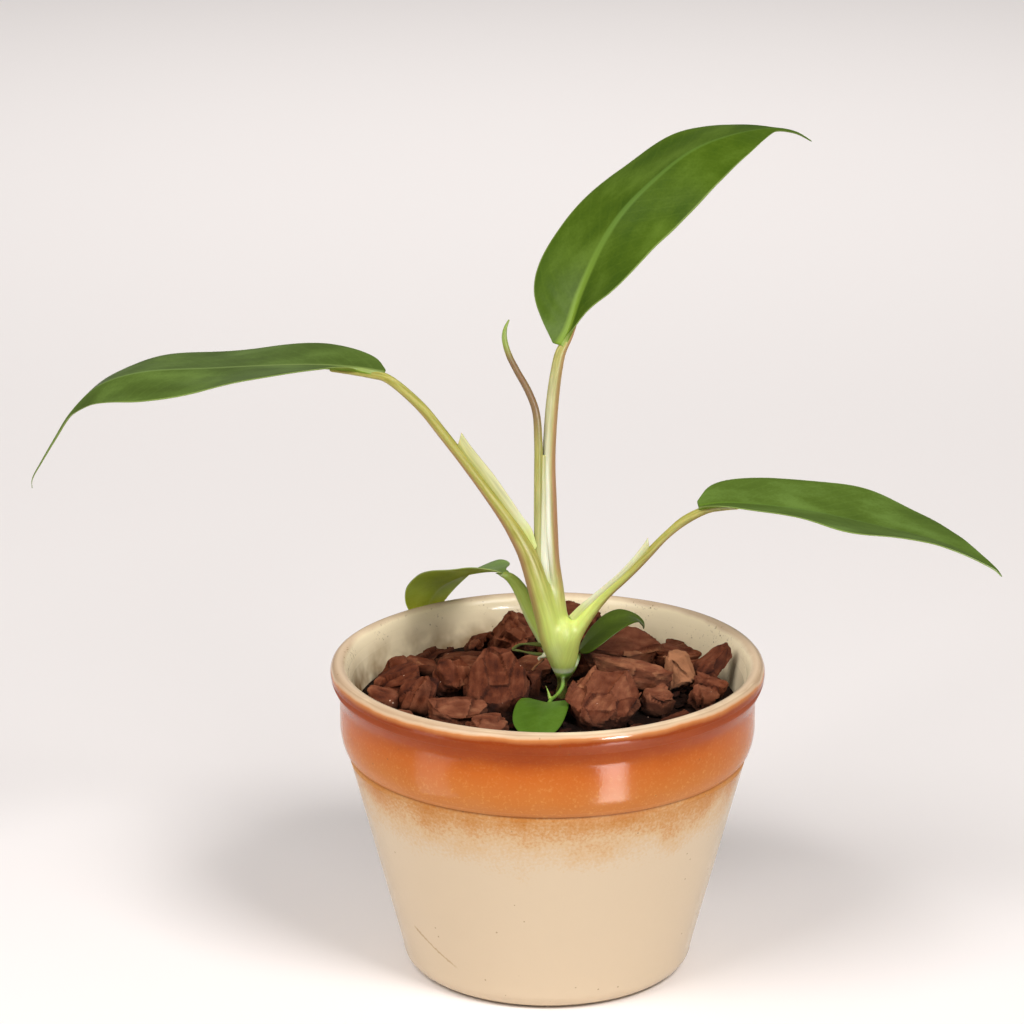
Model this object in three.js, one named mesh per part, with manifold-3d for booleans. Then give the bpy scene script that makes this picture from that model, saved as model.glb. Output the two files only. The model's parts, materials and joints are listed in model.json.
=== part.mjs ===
// A young philodendron in a two-colour glazed pot filled with bark chips.
// Millimetres, +Z up. The origin is the centre of the pot's flat base, on the surface it stands on.
// The front of the pot faces -Y. The long leaves reach to the left, to the right and up.

import * as THREE from 'three';
import { mergeVertices } from 'three/addons/utils/BufferGeometryUtils.js';
import { ConvexGeometry } from 'three/addons/geometries/ConvexGeometry.js';
import Module from 'manifold-3d';

const wasm = await Module();
wasm.setup();

// Driving dimensions of the pot
const POT_HEIGHT = 95.6;
const RIM_RADIUS = 65;
const RIM_CREST_RADIUS = 62.7;
const COLLAR_RADIUS = 62.2;
const COLLAR_BOTTOM = 75;
const LINE_RADIUS = 60;
const LINE_HEIGHT = 68.1;
const BASE_RADIUS = 43.9;
const HEEL = 6.1;
const WALL = 4.6;
const FLOOR = 6;
const POT_SIDES = 48;

// Clearance between pieces that touch on the real plant
const GAP = 0.35;

// Filling of the pot
const BED_TOP = 83;
const BED_MOUND = 1.5;
const BED_LUMP = 1.3;
const BED_RINGS = 8;

// Leaves
const BLADE_THICKNESS = 0.7;
const MIDRIB_THICKNESS = 0.8;
const MIDRIB_WIDTH = 1.4;
const LEAF_STATIONS = [0, 0.06, 0.18, 0.34, 0.52, 0.7, 0.86, 1];
const ACROSS = 3;
const TUBE_SIDES = 10;

const point = ([x, y, z]) => new THREE.Vector3(x, y, z);

// Repeatable random numbers from 0 to 1
function seeded(seed) {
  let state = seed;
  return () => {
    state = (state + 0x6d2b79f5) | 0;
    let t = Math.imul(state ^ (state >>> 15), 1 | state);
    t = (t + Math.imul(t ^ (t >>> 7), 61 | t)) ^ t;
    return ((t ^ (t >>> 14)) >>> 0) / 4294967296;
  };
}

// Smooth curve through the values at the given stations
function along(stations, values, u) {
  const last = stations.length - 1;
  let i = 0;
  while (i < last - 1 && u > stations[i + 1]) i += 1;
  const slope = (k) => {
    const a = Math.max(k - 1, 0);
    const b = Math.min(k + 1, last);
    return (values[b] - values[a]) / (stations[b] - stations[a]);
  };
  const span = stations[i + 1] - stations[i];
  const t = THREE.MathUtils.clamp((u - stations[i]) / span, 0, 1);
  const rise = values[i + 1] - values[i];
  const first = slope(i) * span - rise;
  const second = rise - slope(i + 1) * span;
  return values[i] + t * rise + t * (1 - t) * (first * (1 - t) + second * t);
}

// The same, for values spread evenly from 0 to 1
function evenly(values, u) {
  return along(values.map((_, i) => i / (values.length - 1)), values, u);
}

// Solids as booleans take them and give them back
function toSolid(geometry) {
  const plain = geometry.clone();
  plain.deleteAttribute('normal');
  plain.deleteAttribute('uv');
  const merged = mergeVertices(plain, 1e-4);
  const index = merged.index.array;
  const triangles = [];
  for (let i = 0; i < index.length; i += 3) {
    const [a, b, c] = index.slice(i, i + 3);
    if (a !== b && b !== c && c !== a) triangles.push(a, b, c);
  }
  return new wasm.Manifold(new wasm.Mesh({
    numProp: 3,
    vertProperties: new Float32Array(merged.attributes.position.array),
    triVerts: new Uint32Array(triangles),
  }));
}

function toGeometry(solid) {
  const mesh = solid.getMesh();
  const geometry = new THREE.BufferGeometry();
  const positions = new Float32Array(mesh.vertProperties);
  geometry.setAttribute('position', new THREE.BufferAttribute(positions, 3));
  geometry.setIndex(new THREE.BufferAttribute(new Uint32Array(mesh.triVerts), 1));
  return largestBody(mergeVertices(geometry, 1e-4));
}

// Keeps the largest connected body, so that a cut leaves no loose scrap
function largestBody(geometry) {
  const index = geometry.index.array;
  const parent = Array.from({ length: geometry.attributes.position.count }, (_, i) => i);
  const root = (i) => {
    while (parent[i] !== i) i = parent[i] = parent[parent[i]];
    return i;
  };
  for (let i = 0; i < index.length; i += 3) {
    parent[root(index[i])] = root(index[i + 1]);
    parent[root(index[i + 2])] = root(index[i + 1]);
  }
  const count = new Map();
  for (let i = 0; i < index.length; i += 3) {
    const body = root(index[i]);
    count.set(body, (count.get(body) || 0) + 1);
  }
  const [largest] = [...count.entries()].sort((a, b) => b[1] - a[1])[0];
  const kept = [];
  for (let i = 0; i < index.length; i += 3) {
    if (root(index[i]) === largest) kept.push(index[i], index[i + 1], index[i + 2]);
  }
  geometry.setIndex(kept);
  return geometry;
}

const cutBy = (solid, tools) => tools.reduce((left, tool) => left.subtract(tool), solid);
const joined = (solids) => solids.reduce((all, solid) => all.add(solid));

// Closed body through rings of points, all of the same count
function loft(rings) {
  const sides = rings[0].length;
  const positions = rings.flat().flatMap((p) => p.toArray());
  const index = [];
  for (let i = 0; i + 1 < rings.length; i += 1) {
    for (let j = 0; j < sides; j += 1) {
      const a = i * sides + j;
      const b = i * sides + ((j + 1) % sides);
      index.push(a, b, b + sides, a, b + sides, a + sides);
    }
  }
  [0, rings.length - 1].forEach((ring) => {
    const centre = rings[ring].reduce((sum, p) => sum.add(p), new THREE.Vector3()).divideScalar(sides);
    const middle = positions.length / 3;
    positions.push(...centre.toArray());
    for (let j = 0; j < sides; j += 1) {
      const a = ring * sides + j;
      const b = ring * sides + ((j + 1) % sides);
      index.push(...(ring === 0 ? [middle, b, a] : [middle, a, b]));
    }
  });
  const geometry = new THREE.BufferGeometry();
  geometry.setAttribute('position', new THREE.Float32BufferAttribute(positions, 3));
  geometry.setIndex(index);
  return geometry;
}

// Tapered round stalk along a curve, with its radius given evenly along it
function stalk({ path, radii, steps, grow = 0, sides = TUBE_SIDES }) {
  const curve = new THREE.CatmullRomCurve3(path.map(point), false, 'centripetal');
  const frames = curve.computeFrenetFrames(steps, false);
  const rings = [];
  for (let i = 0; i <= steps; i += 1) {
    const u = i / steps;
    const t = curve.getUtoTmapping(u);
    const radius = evenly(radii, t) + grow;
    const shift = (i === 0 ? -grow : i === steps ? grow : 0);
    const centre = curve.getPoint(t).addScaledVector(frames.tangents[i], shift);
    rings.push(Array.from({ length: sides }, (_, j) => {
      const angle = (2 * Math.PI * j) / sides;
      return centre.clone()
        .addScaledVector(frames.normals[i], radius * Math.cos(angle))
        .addScaledVector(frames.binormals[i], radius * Math.sin(angle));
    }));
  }
  return loft(rings);
}

// Upright body of oval sections, each given as height, centre x and y, and half sizes in x and y
function ovalStack(sections, grow = 0, sides = 12) {
  const last = sections.length - 1;
  return loft(sections.map(([z, x, y, rx, ry], i) => {
    const height = z + (i === 0 ? -grow : i === last ? grow : 0);
    return Array.from({ length: sides }, (_, j) => {
      const angle = (2 * Math.PI * j) / sides;
      return new THREE.Vector3(
        x + (rx + grow) * Math.cos(angle), y + (ry + grow) * Math.sin(angle), height);
    });
  }));
}

// Leaf blade with a folded section, a thicker midrib below and a fine drip tip.
// `facing` is where the upper face looks before it is rolled about the midrib, in degrees.
function blade({ midrib, tip = [], widths, roll, fold, facing, stations = 18, grow = 0 }) {
  const curve = new THREE.CatmullRomCurve3([...midrib, ...tip].map(point), false, 'centripetal');
  const bodyEnd = tip.length ? shareUpTo(curve, midrib.length - 1) : 1;
  const tipSteps = tip.length ? 5 : 0;
  const reference = point(facing);
  const rings = [];
  for (let i = 0; i <= stations + tipSteps; i += 1) {
    const inTip = i > stations;
    const v = Math.min(i / stations, 1);
    const u = inTip ? bodyEnd + ((1 - bodyEnd) * (i - stations)) / tipSteps : bodyEnd * v;
    const tangent = curve.getTangentAt(u);
    const normal = reference.clone().addScaledVector(tangent, -reference.dot(tangent)).normalize();
    normal.applyAxisAngle(tangent, THREE.MathUtils.degToRad(evenly(roll, v)));
    const side = new THREE.Vector3().crossVectors(tangent, normal);
    const endTaper = 1 - 0.45 * Math.max(0, (i - stations) / Math.max(tipSteps, 1));
    const half = (inTip ? widths.at(-1) * endTaper : along(LEAF_STATIONS, widths, v)) + grow;
    const angle = THREE.MathUtils.degToRad(evenly(fold, v));
    const rib = MIDRIB_THICKNESS * Math.pow(1 - v, 0.7);
    const upper = [];
    const lower = [];
    for (let j = -ACROSS; j <= ACROSS; j += 1) {
      const s = Math.sign(j) * Math.pow(Math.abs(j) / ACROSS, 1.3) * half;
      const thick = (BLADE_THICKNESS + rib * Math.exp(-((s / MIDRIB_WIDTH) ** 2))) * endTaper;
      const surface = curve.getPointAt(u)
        .addScaledVector(side, s * Math.cos(angle))
        .addScaledVector(normal, Math.abs(s) * Math.sin(angle));
      const above = BLADE_THICKNESS * 0.5 * endTaper;
      upper.push(surface.clone().addScaledVector(normal, above + grow));
      lower.push(surface.addScaledVector(normal, above - thick - grow));
    }
    rings.push([...upper, ...lower.reverse()]);
  }
  return stripBody(rings);
}

// Share of the curve's length at one of its points
function shareUpTo(curve, index) {
  const lengths = curve.getLengths(400);
  const t = index / (curve.points.length - 1);
  return lengths[Math.round(t * 400)] / lengths[400];
}

// Closed body through flat sections whose upper and lower halves have the same diagonals
function stripBody(rings) {
  const count = rings[0].length;
  const half = count / 2;
  const index = [];
  for (let i = 0; i + 1 < rings.length; i += 1) {
    for (let j = 0; j < count; j += 1) {
      const a = i * count + j;
      const b = i * count + ((j + 1) % count);
      const below = j >= half && j < count - 1;
      if (below) index.push(a, b, a + count, b, b + count, a + count);
      else index.push(a, b, b + count, a, b + count, a + count);
    }
  }
  [0, rings.length - 1].forEach((ring) => {
    for (let j = 0; j + 1 < half; j += 1) {
      const base = ring * count;
      const quad = [base + j, base + j + 1, base + count - 2 - j, base + count - 1 - j];
      const [a, b, c, d] = ring === 0 ? quad.reverse() : quad;
      index.push(a, b, c, a, c, d);
    }
  });
  const geometry = new THREE.BufferGeometry();
  const positions = rings.flat().flatMap((p) => p.toArray());
  geometry.setAttribute('position', new THREE.Float32BufferAttribute(positions, 3));
  geometry.setIndex(index);
  return geometry;
}

// Outer outline of the pot, from the middle of the base up to the rim
function outerOutline() {
  const heel = [0, 30, 60, 90].map((degrees) => {
    const a = THREE.MathUtils.degToRad(degrees);
    return [BASE_RADIUS - HEEL + HEEL * Math.sin(a), HEEL - HEEL * Math.cos(a)];
  });
  return [
    [0, 0],
    ...heel,
    [LINE_RADIUS, LINE_HEIGHT],
    [LINE_RADIUS + 1.4, 71],
    [COLLAR_RADIUS, COLLAR_BOTTOM],
    [COLLAR_RADIUS, 84.5],
    [63.4, 87],
    [64.5, 90],
    [RIM_RADIUS, 92.8],
    [64.3, 94.8],
    [RIM_CREST_RADIUS, POT_HEIGHT],
  ];
}

// Inner outline of the pot, from the rim down to the middle of the floor, moved inwards by inset
function innerOutline(inset = 0) {
  return [
    [60.6 - inset, 94.6],
    [59.6 - inset, 92.2],
    [58.6 - inset, 88],
    [LINE_RADIUS - WALL - inset, LINE_HEIGHT],
    [39.8 - inset, FLOOR + 4 + inset],
    [36.5 - inset, FLOOR + inset],
    [0, FLOOR + inset],
  ];
}

function turned(outline) {
  const lathe = new THREE.LatheGeometry(outline.map(([r, z]) => new THREE.Vector2(r, z)), POT_SIDES);
  return lathe.rotateX(Math.PI / 2);
}

const pot = () => turned([...outerOutline(), ...innerOutline()]);

// Room inside the pot that the filling may take, open far above the rim
function cavity() {
  const wall = innerOutline(GAP).reverse();
  const [top] = wall.slice(-1);
  return turned([...wall, [top[0], 140], [0, 140]]);
}

// Bark chips: place, size (length, depth, height), and turns about Z, X and Y in degrees
const CHIPS = [
  { at: [-15.6, -4, 89.5], size: [24.6, 30.2, 10.5], turn: [8, 31, -4] },
  { at: [16, -15.5, 88.5], size: [26.9, 29.1, 9.5], turn: [-6, 24, 5] },
  { at: [24, 4, 90], size: [33.6, 9, 8.4], turn: [-18, 10, 6] },
  { at: [-28, 4, 87.5], size: [13.4, 14.6, 9.5], turn: [20, 25, 0] },
  { at: [-38.5, -13.5, 88.5], size: [13.3, 8.6, 14.7], turn: [12, -24, 20] },
  { at: [-27.5, -24, 87], size: [21.3, 13.4, 9.5], turn: [14, 18, 5] },
  { at: [-44.5, 1, 87], size: [15.8, 16.1, 7.4], turn: [-20, 12, -10] },
  { at: [-46, 15, 86.3], size: [10.4, 11.7, 9.1], turn: [30, 0, 15] },
  { at: [-26.5, 30, 83.2], size: [18.2, 13, 9.1], turn: [-10, 0, 0] },
  { at: [-10.5, 35, 90.5], size: [16.9, 16.9, 15.9], turn: [15, 30, 10] },
  { at: [-20.5, 40, 84.4], size: [10.4, 15.5, 10.3], turn: [-25, 10, 0] },
  { at: [-5, 2.5, 85.5], size: [9, 6.7, 12.6], turn: [5, -8, 0] },
  { at: [-17.5, -35, 86], size: [15.5, 11.7, 8], turn: [-15, 8, 12] },
  { at: [39.4, 5, 90.5], size: [13.3, 9.9, 13.7], turn: [10, -12, -15] },
  { at: [33, -11, 86.5], size: [12.3, 10.1, 7.4], turn: [25, 15, 8] },
  { at: [46.5, -7.5, 86], size: [12.1, 11.1, 6.3], turn: [-20, 10, 15] },
  { at: [47.5, 0.5, 87.5], size: [17, 7.4, 5.2], turn: [-30, 0, 8] },
  { at: [50, 11, 90.5], size: [19.5, 7.8, 6.8], turn: [38, 0, -36] },
  { at: [38, 26, 86], size: [18.2, 13, 8], turn: [-8, 10, 5] },
  { at: [23, 25.5, 89.5], size: [26, 18.2, 11.3], turn: [-12, 24, 8] },
  { at: [8.5, 45, 90.5], size: [19.5, 11.7, 15.9], turn: [-6, 6, 12] },
  { at: [7, 24, 86.5], size: [16.9, 15.5, 10.3], turn: [40, 5, 0] },
  { at: [-5, 19, 84], size: [14.3, 13, 9.1], turn: [-30, 8, 6] },
  { at: [-35, 33, 82.2], size: [14.3, 11.7, 9.1], turn: [35, 6, 0] },
  { at: [25, 42, 84.5], size: [19.5, 13, 10.3], turn: [-30, 8, 0] },
  { at: [40, 38, 83.4], size: [13, 10.4, 8], turn: [-45, 5, 8] },
  { at: [39, -24, 82.4], size: [17, 13.5, 8.4], turn: [30, 12, -6] },
  { at: [26, -33, 82.6], size: [15.5, 13, 8], turn: [-25, 8, 10] },
  { at: [14, -42, 82.6], size: [18.2, 11.7, 8], turn: [10, 10, 5] },
  { at: [28, -44.5, 82.6], size: [15.5, 10.4, 8], turn: [35, 6, -8] },
  { at: [-31, -40, 83.2], size: [16.9, 11.7, 8], turn: [-35, 8, 6] },
  { at: [-43, -27, 84], size: [14.5, 11.1, 8.4], turn: [-50, 10, 0] },
  { at: [-14, -47, 82.6], size: [18.2, 10.4, 8], turn: [-8, 6, 4] },
  { at: [51, -16, 83], size: [9.7, 13.5, 7.4], turn: [15, 5, 10] },
  { at: [-20, 17.5, 84.6], size: [18, 16, 8], turn: [-25, 10, 4] },
  { at: [30.5, 13.5, 84.5], size: [14, 12, 8], turn: [20, -6, 8] },
  { at: [-6.5, 49, 87.5], size: [14, 10, 10], turn: [15, 6, 0] },
  { at: [2, 34.5, 84.6], size: [14, 12, 9], turn: [-30, 4, -10] },
  { at: [-38, 21.5, 83.8], size: [14, 12, 9], turn: [-15, 8, 6] },
  { at: [-49, -11.5, 86.5], size: [11, 12, 8], turn: [35, 4, 8] },
  { at: [36, -35, 82.6], size: [13, 12, 8], turn: [-20, 10, 0] },
  { at: [45, 18.5, 84.6], size: [11, 12, 9], turn: [25, 0, -12] },
];

// Angular flake: the hull of jittered points in a box, stretched to the chip's size
function flake({ at, size, turn }, seed, grow = 0) {
  const random = seeded(seed);
  const jitter = (spread) => 1 - spread * random();
  const corners = [];
  for (let k = 0; k < 14; k += 1) {
    const angle = (2 * Math.PI * (k % 7) + 1.4 * random()) / 7;
    const level = k < 7 ? -1 : 1;
    const reach = jitter(0.34);
    corners.push(new THREE.Vector3(
      reach * Math.cos(angle) * (size[0] / 2 + grow),
      reach * Math.sin(angle) * (size[1] / 2 + grow),
      level * jitter(0.5) * (size[2] / 2 + grow)));
  }
  const [aboutZ, aboutX, aboutY] = turn.map(THREE.MathUtils.degToRad);
  const geometry = new ConvexGeometry(corners);
  geometry.applyMatrix4(new THREE.Matrix4().makeRotationFromEuler(
    new THREE.Euler(aboutX, aboutY, aboutZ, 'ZXY')));
  return geometry.translate(...at);
}

// Filling between the chips: a lumpy mound that reaches down to the pot's floor
function bed() {
  const random = seeded(77);
  const rings = [];
  const wall = innerOutline(GAP).reverse().slice(1, 5);
  const brim = wall[3][0];
  const edgeRadius = THREE.MathUtils.mapLinear(BED_TOP, wall[2][1], wall[3][1], wall[2][0], brim);
  const ring = (radius, height) => Array.from({ length: POT_SIDES }, (_, j) => {
    const angle = (2 * Math.PI * j) / POT_SIDES;
    return new THREE.Vector3(radius * Math.sin(angle), -radius * Math.cos(angle), height(radius));
  });
  wall.slice(0, 3).forEach(([r, z]) => rings.push(ring(r, () => z)));
  rings.push(ring(edgeRadius, () => BED_TOP));
  const surface = (r) => BED_TOP + BED_MOUND * (1 - r / edgeRadius) + BED_LUMP * (random() - 0.5);
  for (let i = BED_RINGS - 1; i >= 1; i -= 1) {
    rings.push(ring((edgeRadius * i) / BED_RINGS, surface));
  }
  return loft(rings);
}

// Crown and rootstock
const CROWN_SECTIONS = [
  [52, 3.4, 0.2, 1.4, 1.4],
  [66, 3.5, 0, 1.9, 1.9],
  [82, 3.9, 0, 2, 2],
  [90, 4.4, 0, 1.9, 1.9],
  [91.8, 4.6, 0, 2.8, 2.7],
  [93.2, 4.6, 0, 3.8, 3.5],
  [96, 4.4, 0, 4.7, 4.2],
  [100, 4.2, 0, 5.8, 4.9],
  [104, 3.7, 0, 6.3, 5.1],
  [108, 3.2, 0, 5.6, 4.6],
  [110.5, 2.6, 0, 3.6, 3.2],
];

const ROOTS = [
  { path: [[3.4, 0, 72], [12, 4, 64], [22, 9, 55], [30, 12, 44]], radii: [1.6, 1.4, 1.1, 0.8] },
  { path: [[3.4, 0, 70], [-6, 6, 62], [-14, 14, 53], [-18, 18, 42]], radii: [1.6, 1.4, 1.1, 0.8] },
  { path: [[3.4, 0, 68], [2, -10, 60], [-4, -20, 50], [-8, -26, 39]], radii: [1.6, 1.4, 1.1, 0.8] },
  { path: [[3.4, 0.2, 56], [6, 1, 44], [4, -2, 32], [8, -3, 22]], radii: [1.5, 1.2, 1, 0.8] },
];

function stemSolid(grow = 0) {
  const roots = ROOTS.map((root) => toSolid(stalk({ ...root, steps: 7, sides: 6, grow })));
  return joined([toSolid(ovalStack(CROWN_SECTIONS, grow)), ...roots]);
}

// Stalks, from the crown outwards
const STALKS = {
  tall_leaf_petiole: {
    path: [[3.2, 0.8, 101], [2.4, 1.2, 108], [1.2, 1.2, 117], [0.3, 1, 128], [-0.2, 0.6, 145.6],
      [0, 0.3, 162], [1.2, 0, 178], [3.1, 0, 192.3]],
    radii: [3.2, 3.2, 2.9, 2.3, 1.9, 1.85, 1.8, 1.8],
    steps: 16,
  },
  right_leaf_petiole: {
    path: [[5, -0.8, 97], [7.5, -0.8, 102.6], [9.9, -0.4, 107.5], [12.6, -0.3, 111.6],
      [18.5, -0.1, 118.1], [24.4, 0, 124.4], [30.3, 0, 130.1], [36.2, 0, 135.7], [44.6, 0, 143.4]],
    radii: [3, 3, 2.75, 2.4, 2.1, 1.85, 1.7, 1.5, 1.35],
    steps: 14,
  },
  new_leaf_spear: {
    path: [[1.2, -0.8, 106], [-0.7, -1.2, 120], [-2.2, -1.4, 129], [-3.1, -1.4, 140],
      [-3.5, -1.4, 152], [-3.4, -1.3, 164], [-3.9, -1.1, 173.4], [-6, -0.8, 179.6],
      [-9.3, -0.5, 185.6], [-11.7, -0.4, 190.6], [-12.9, -0.3, 196.5], [-11.2, 0, 201.6]],
    radii: [1.5, 1.4, 1.3, 1.25, 1.25, 1.25, 1.1, 1.25, 1.1, 1, 0.7, 0.4],
    steps: 26,
  },
  left_leaf_petiole: {
    path: [[1.4, -2, 101], [-0.2, -2.4, 109], [-2.4, -2.4, 118], [-5.6, -2.2, 127.5],
      [-10.9, -1.8, 139.4], [-18.2, -1.2, 152.4], [-28.2, -0.6, 163.8], [-38, -0.2, 174.8],
      [-47.8, 0, 183.4]],
    radii: [3.4, 3.6, 3.5, 3.3, 3, 2.5, 1.85, 1.55, 1.35],
    steps: 18,
  },
  small_left_leaf_petiole: {
    path: [[1, 3, 96], [-2.2, 4.2, 100.5], [-5.5, 5.2, 107], [-8.5, 5.6, 113.3],
      [-11, 5.8, 118], [-12.4, 6, 120.6]],
    radii: [2, 2.4, 2.4, 2, 1.5, 1.3],
    steps: 10,
  },
  small_right_leaf_petiole: {
    path: [[5, 1.2, 88.6], [6.8, 3.2, 90.4], [8.4, 5, 92.6], [9.7, 6.4, 95.2]],
    radii: [1.1, 1, 0.9, 0.9],
    steps: 7,
  },
  front_leaf_petiole: {
    path: [[4.4, -2, 91.5], [3.4, -4, 89], [1.6, -8, 86.6], [0.6, -12.6, 86]],
    radii: [1.3, 1.1, 0.9, 0.8],
    steps: 8,
  },
  dried_sheath: {
    path: [[-1, 1.5, 98], [-4, 2.4, 98.4], [-7, 3, 98.6], [-10.5, 3.4, 97.4]],
    radii: [0.7, 0.6, 0.6, 0.45],
    steps: 7,
  },
};

const BLADES = {
  tall_leaf_blade: {
    midrib: [[3.3, 0, 192.9], [8.6, 8.5, 206.4], [20.5, 17.7, 226.6], [30.4, 22.7, 236.4],
      [42.7, 27.9, 244.9], [55.9, 33.2, 248.6], [67.1, 38.8, 248.8]],
    tip: [[73.5, 41.5, 247.4], [78.5, 43.5, 244.4]],
    widths: [1.7, 6.6, 15.3, 18.1, 17.8, 16, 9.4, 0.8],
    roll: [-26, -26, -40],
    fold: [31, -10, -9],
    facing: [-0.3, -1, 0.5],
  },
  left_leaf_blade: {
    midrib: [[-48.3, 0, 184.2], [-55.5, 2.6, 184.7], [-69.4, 5.3, 185.1], [-99.9, 10, 183],
      [-122, 13.4, 180.3], [-134, 16.2, 175.2], [-142.8, 18.8, 166]],
    tip: [[-147.5, 20, 158.6], [-152.2, 21, 150.8], [-155.6, 22, 144.4], [-155.4, 22.2, 141.9]],
    widths: [1.4, 7.5, 14.8, 18.2, 18.4, 16.6, 8.4, 0.8],
    roll: [1, -3, -22],
    fold: [18, -2, -17],
    facing: [0, 0, 1],
  },
  right_leaf_blade: {
    midrib: [[44.4, 0, 143.5], [50, 0.3, 144.7], [60.3, 0, 144.8], [77.1, -2.3, 143.4],
      [95.8, -6.9, 140.3], [117.1, -13.7, 136.1], [130.6, -22.4, 131.2]],
    tip: [[132.6, -23.8, 130]],
    widths: [3.6, 8.8, 12.3, 14.9, 18.2, 14.2, 6.3, 0.8],
    roll: [3, 2, -12],
    fold: [15, 9, 9],
    facing: [0, 0, 1],
  },
  small_left_leaf_blade: {
    midrib: [[-13, 6.6, 120.8], [-15.4, 13, 120], [-18.9, 24, 115.9], [-24.4, 34, 111.2],
      [-29.4, 44, 105.8], [-34.2, 53, 99.6], [-38, 61, 91], [-39.4, 65.5, 83]],
    widths: [1.3, 2, 6.2, 10, 11.8, 10.8, 7, 1],
    roll: [0, 0, 0],
    fold: [10, 14, 6],
    facing: [0, 0, 1],
    stations: 14,
  },
  small_right_leaf_blade: {
    midrib: [[9.7, 6.4, 95.4], [13.3, 7.4, 98.9], [16.9, 8.8, 101.8], [20.5, 10.4, 103.9],
      [23.8, 12.4, 104.3], [26.4, 14.7, 103.4], [28.6, 16.8, 101.8]],
    widths: [1.4, 3.6, 5, 5.5, 5.3, 4.2, 1.6, 0.8],
    roll: [-44, -28, -12],
    fold: [-8, 0, 8],
    facing: [0, -0.6, 0.8],
    stations: 12,
  },
  front_leaf_blade: {
    midrib: [[-0.1, -12.6, 86.7], [-1.2, -20, 87], [-2.4, -28, 86.4], [-3.1, -35, 85.4],
      [-3.7, -40.5, 84.4]],
    widths: [4, 5.8, 7, 7.4, 7.4, 6.4, 4.2, 1],
    roll: [0, 0, 0],
    fold: [14, 6, 2],
    facing: [0, 0, 1],
    stations: 12,
  },
};

const COLOURS = {
  pot: ['#e4cdb0', 0.22],
  bark_mix: ['#3a1d12', 0.95],
  bark_chip: ['#7c4832', 0.9],
  stem: ['#b4c565', 0.45],
  petiole: ['#a3a955', 0.45],
  spear: ['#9c8c4e', 0.45],
  blade: ['#3e6a22', 0.35],
  dried: ['#8d9655', 0.7],
};

function finish(key) {
  const [colour, roughness] = COLOURS[key];
  return new THREE.MeshStandardMaterial({ color: new THREE.Color(colour), roughness, metalness: 0 });
}

const philodendron = new THREE.Group();
philodendron.name = 'potted_philodendron';

function place(name, geometry, key) {
  const mesh = new THREE.Mesh(geometry, finish(key));
  mesh.name = name;
  philodendron.add(mesh);
}

// Plant, cut so that each piece clears those placed before it
const stem = stemSolid();
const grown = [stemSolid(GAP)];
place('stem', toGeometry(stem), 'stem');

Object.entries(STALKS).forEach(([name, spec]) => {
  const solid = cutBy(toSolid(stalk(spec)), grown);
  const key = { new_leaf_spear: 'spear', dried_sheath: 'dried' }[name] || 'petiole';
  place(name, toGeometry(solid), key);
  grown.push(toSolid(stalk({ ...spec, grow: GAP })));
});

Object.entries(BLADES).forEach(([name, spec]) => {
  const solid = cutBy(toSolid(blade(spec)), grown);
  place(name, toGeometry(solid), 'blade');
});
const grownBlades = Object.values(BLADES).slice(3).map((spec) => toSolid(blade({ ...spec, grow: GAP })));

// Chips, kept inside the pot and clear of the plant and of each other
const plantTools = [...grown, ...grownBlades];
const room = toSolid(cavity());
const chipTools = [];
CHIPS.forEach((chip, i) => {
  const whole = toSolid(flake(chip, 100 + i)).intersect(room);
  const solid = cutBy(whole, [...plantTools, ...chipTools]);
  place(`bark_chip_${String(i + 1).padStart(2, '0')}`, toGeometry(solid), 'bark_chip');
  chipTools.push(toSolid(flake(chip, 100 + i, GAP + 0.1)));
});

place('bark_mix', toGeometry(cutBy(toSolid(bed()), [...plantTools, ...chipTools])), 'bark_mix');
place('pot', pot(), 'pot');

export default philodendron;
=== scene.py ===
"""Visual model of a young philodendron in a two-colour glazed pot, dressed over the CAD frame.

Sizes in the classes are millimetres, as in the CAD, and MM turns them to Blender's metres.
"""

import json
import logging
import math
import random
from dataclasses import dataclass, field
from enum import Enum
from functools import partial
from typing import Callable, Sequence

import bpy
import numpy as np
from mathutils import Matrix, Vector, kdtree, noise

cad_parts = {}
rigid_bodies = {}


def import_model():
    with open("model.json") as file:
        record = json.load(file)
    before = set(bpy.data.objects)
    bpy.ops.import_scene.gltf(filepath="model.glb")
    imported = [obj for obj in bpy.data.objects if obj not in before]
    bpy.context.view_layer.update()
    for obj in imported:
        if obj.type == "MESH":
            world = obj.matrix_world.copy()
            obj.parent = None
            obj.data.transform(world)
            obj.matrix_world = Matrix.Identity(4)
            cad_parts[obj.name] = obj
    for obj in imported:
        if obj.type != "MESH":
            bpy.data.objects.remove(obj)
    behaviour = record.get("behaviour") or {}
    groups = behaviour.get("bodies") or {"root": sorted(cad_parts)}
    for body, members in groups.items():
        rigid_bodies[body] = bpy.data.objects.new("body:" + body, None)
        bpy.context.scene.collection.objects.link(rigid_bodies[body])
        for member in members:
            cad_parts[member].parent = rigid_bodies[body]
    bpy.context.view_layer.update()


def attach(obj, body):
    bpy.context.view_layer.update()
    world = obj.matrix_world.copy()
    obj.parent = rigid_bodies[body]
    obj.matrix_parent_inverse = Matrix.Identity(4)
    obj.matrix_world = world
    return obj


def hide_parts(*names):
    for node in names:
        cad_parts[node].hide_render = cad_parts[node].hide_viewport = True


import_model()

log = logging.getLogger("philodendron")
MM = 0.001
ROOT = "root"
Point = tuple[float, float, float]
Span = tuple[float, float]
AddNode = Callable[..., bpy.types.Node]


class Slot(Enum):
    """Material slots of the record that the pieces take their finish from."""

    POT = "pot"
    MIX = "bark_mix"
    CHIP = "bark_chip"
    STALK = "petiole"
    SPEAR = "spear"
    DRIED = "dried_sheath"
    BLADE = "blade"


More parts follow.
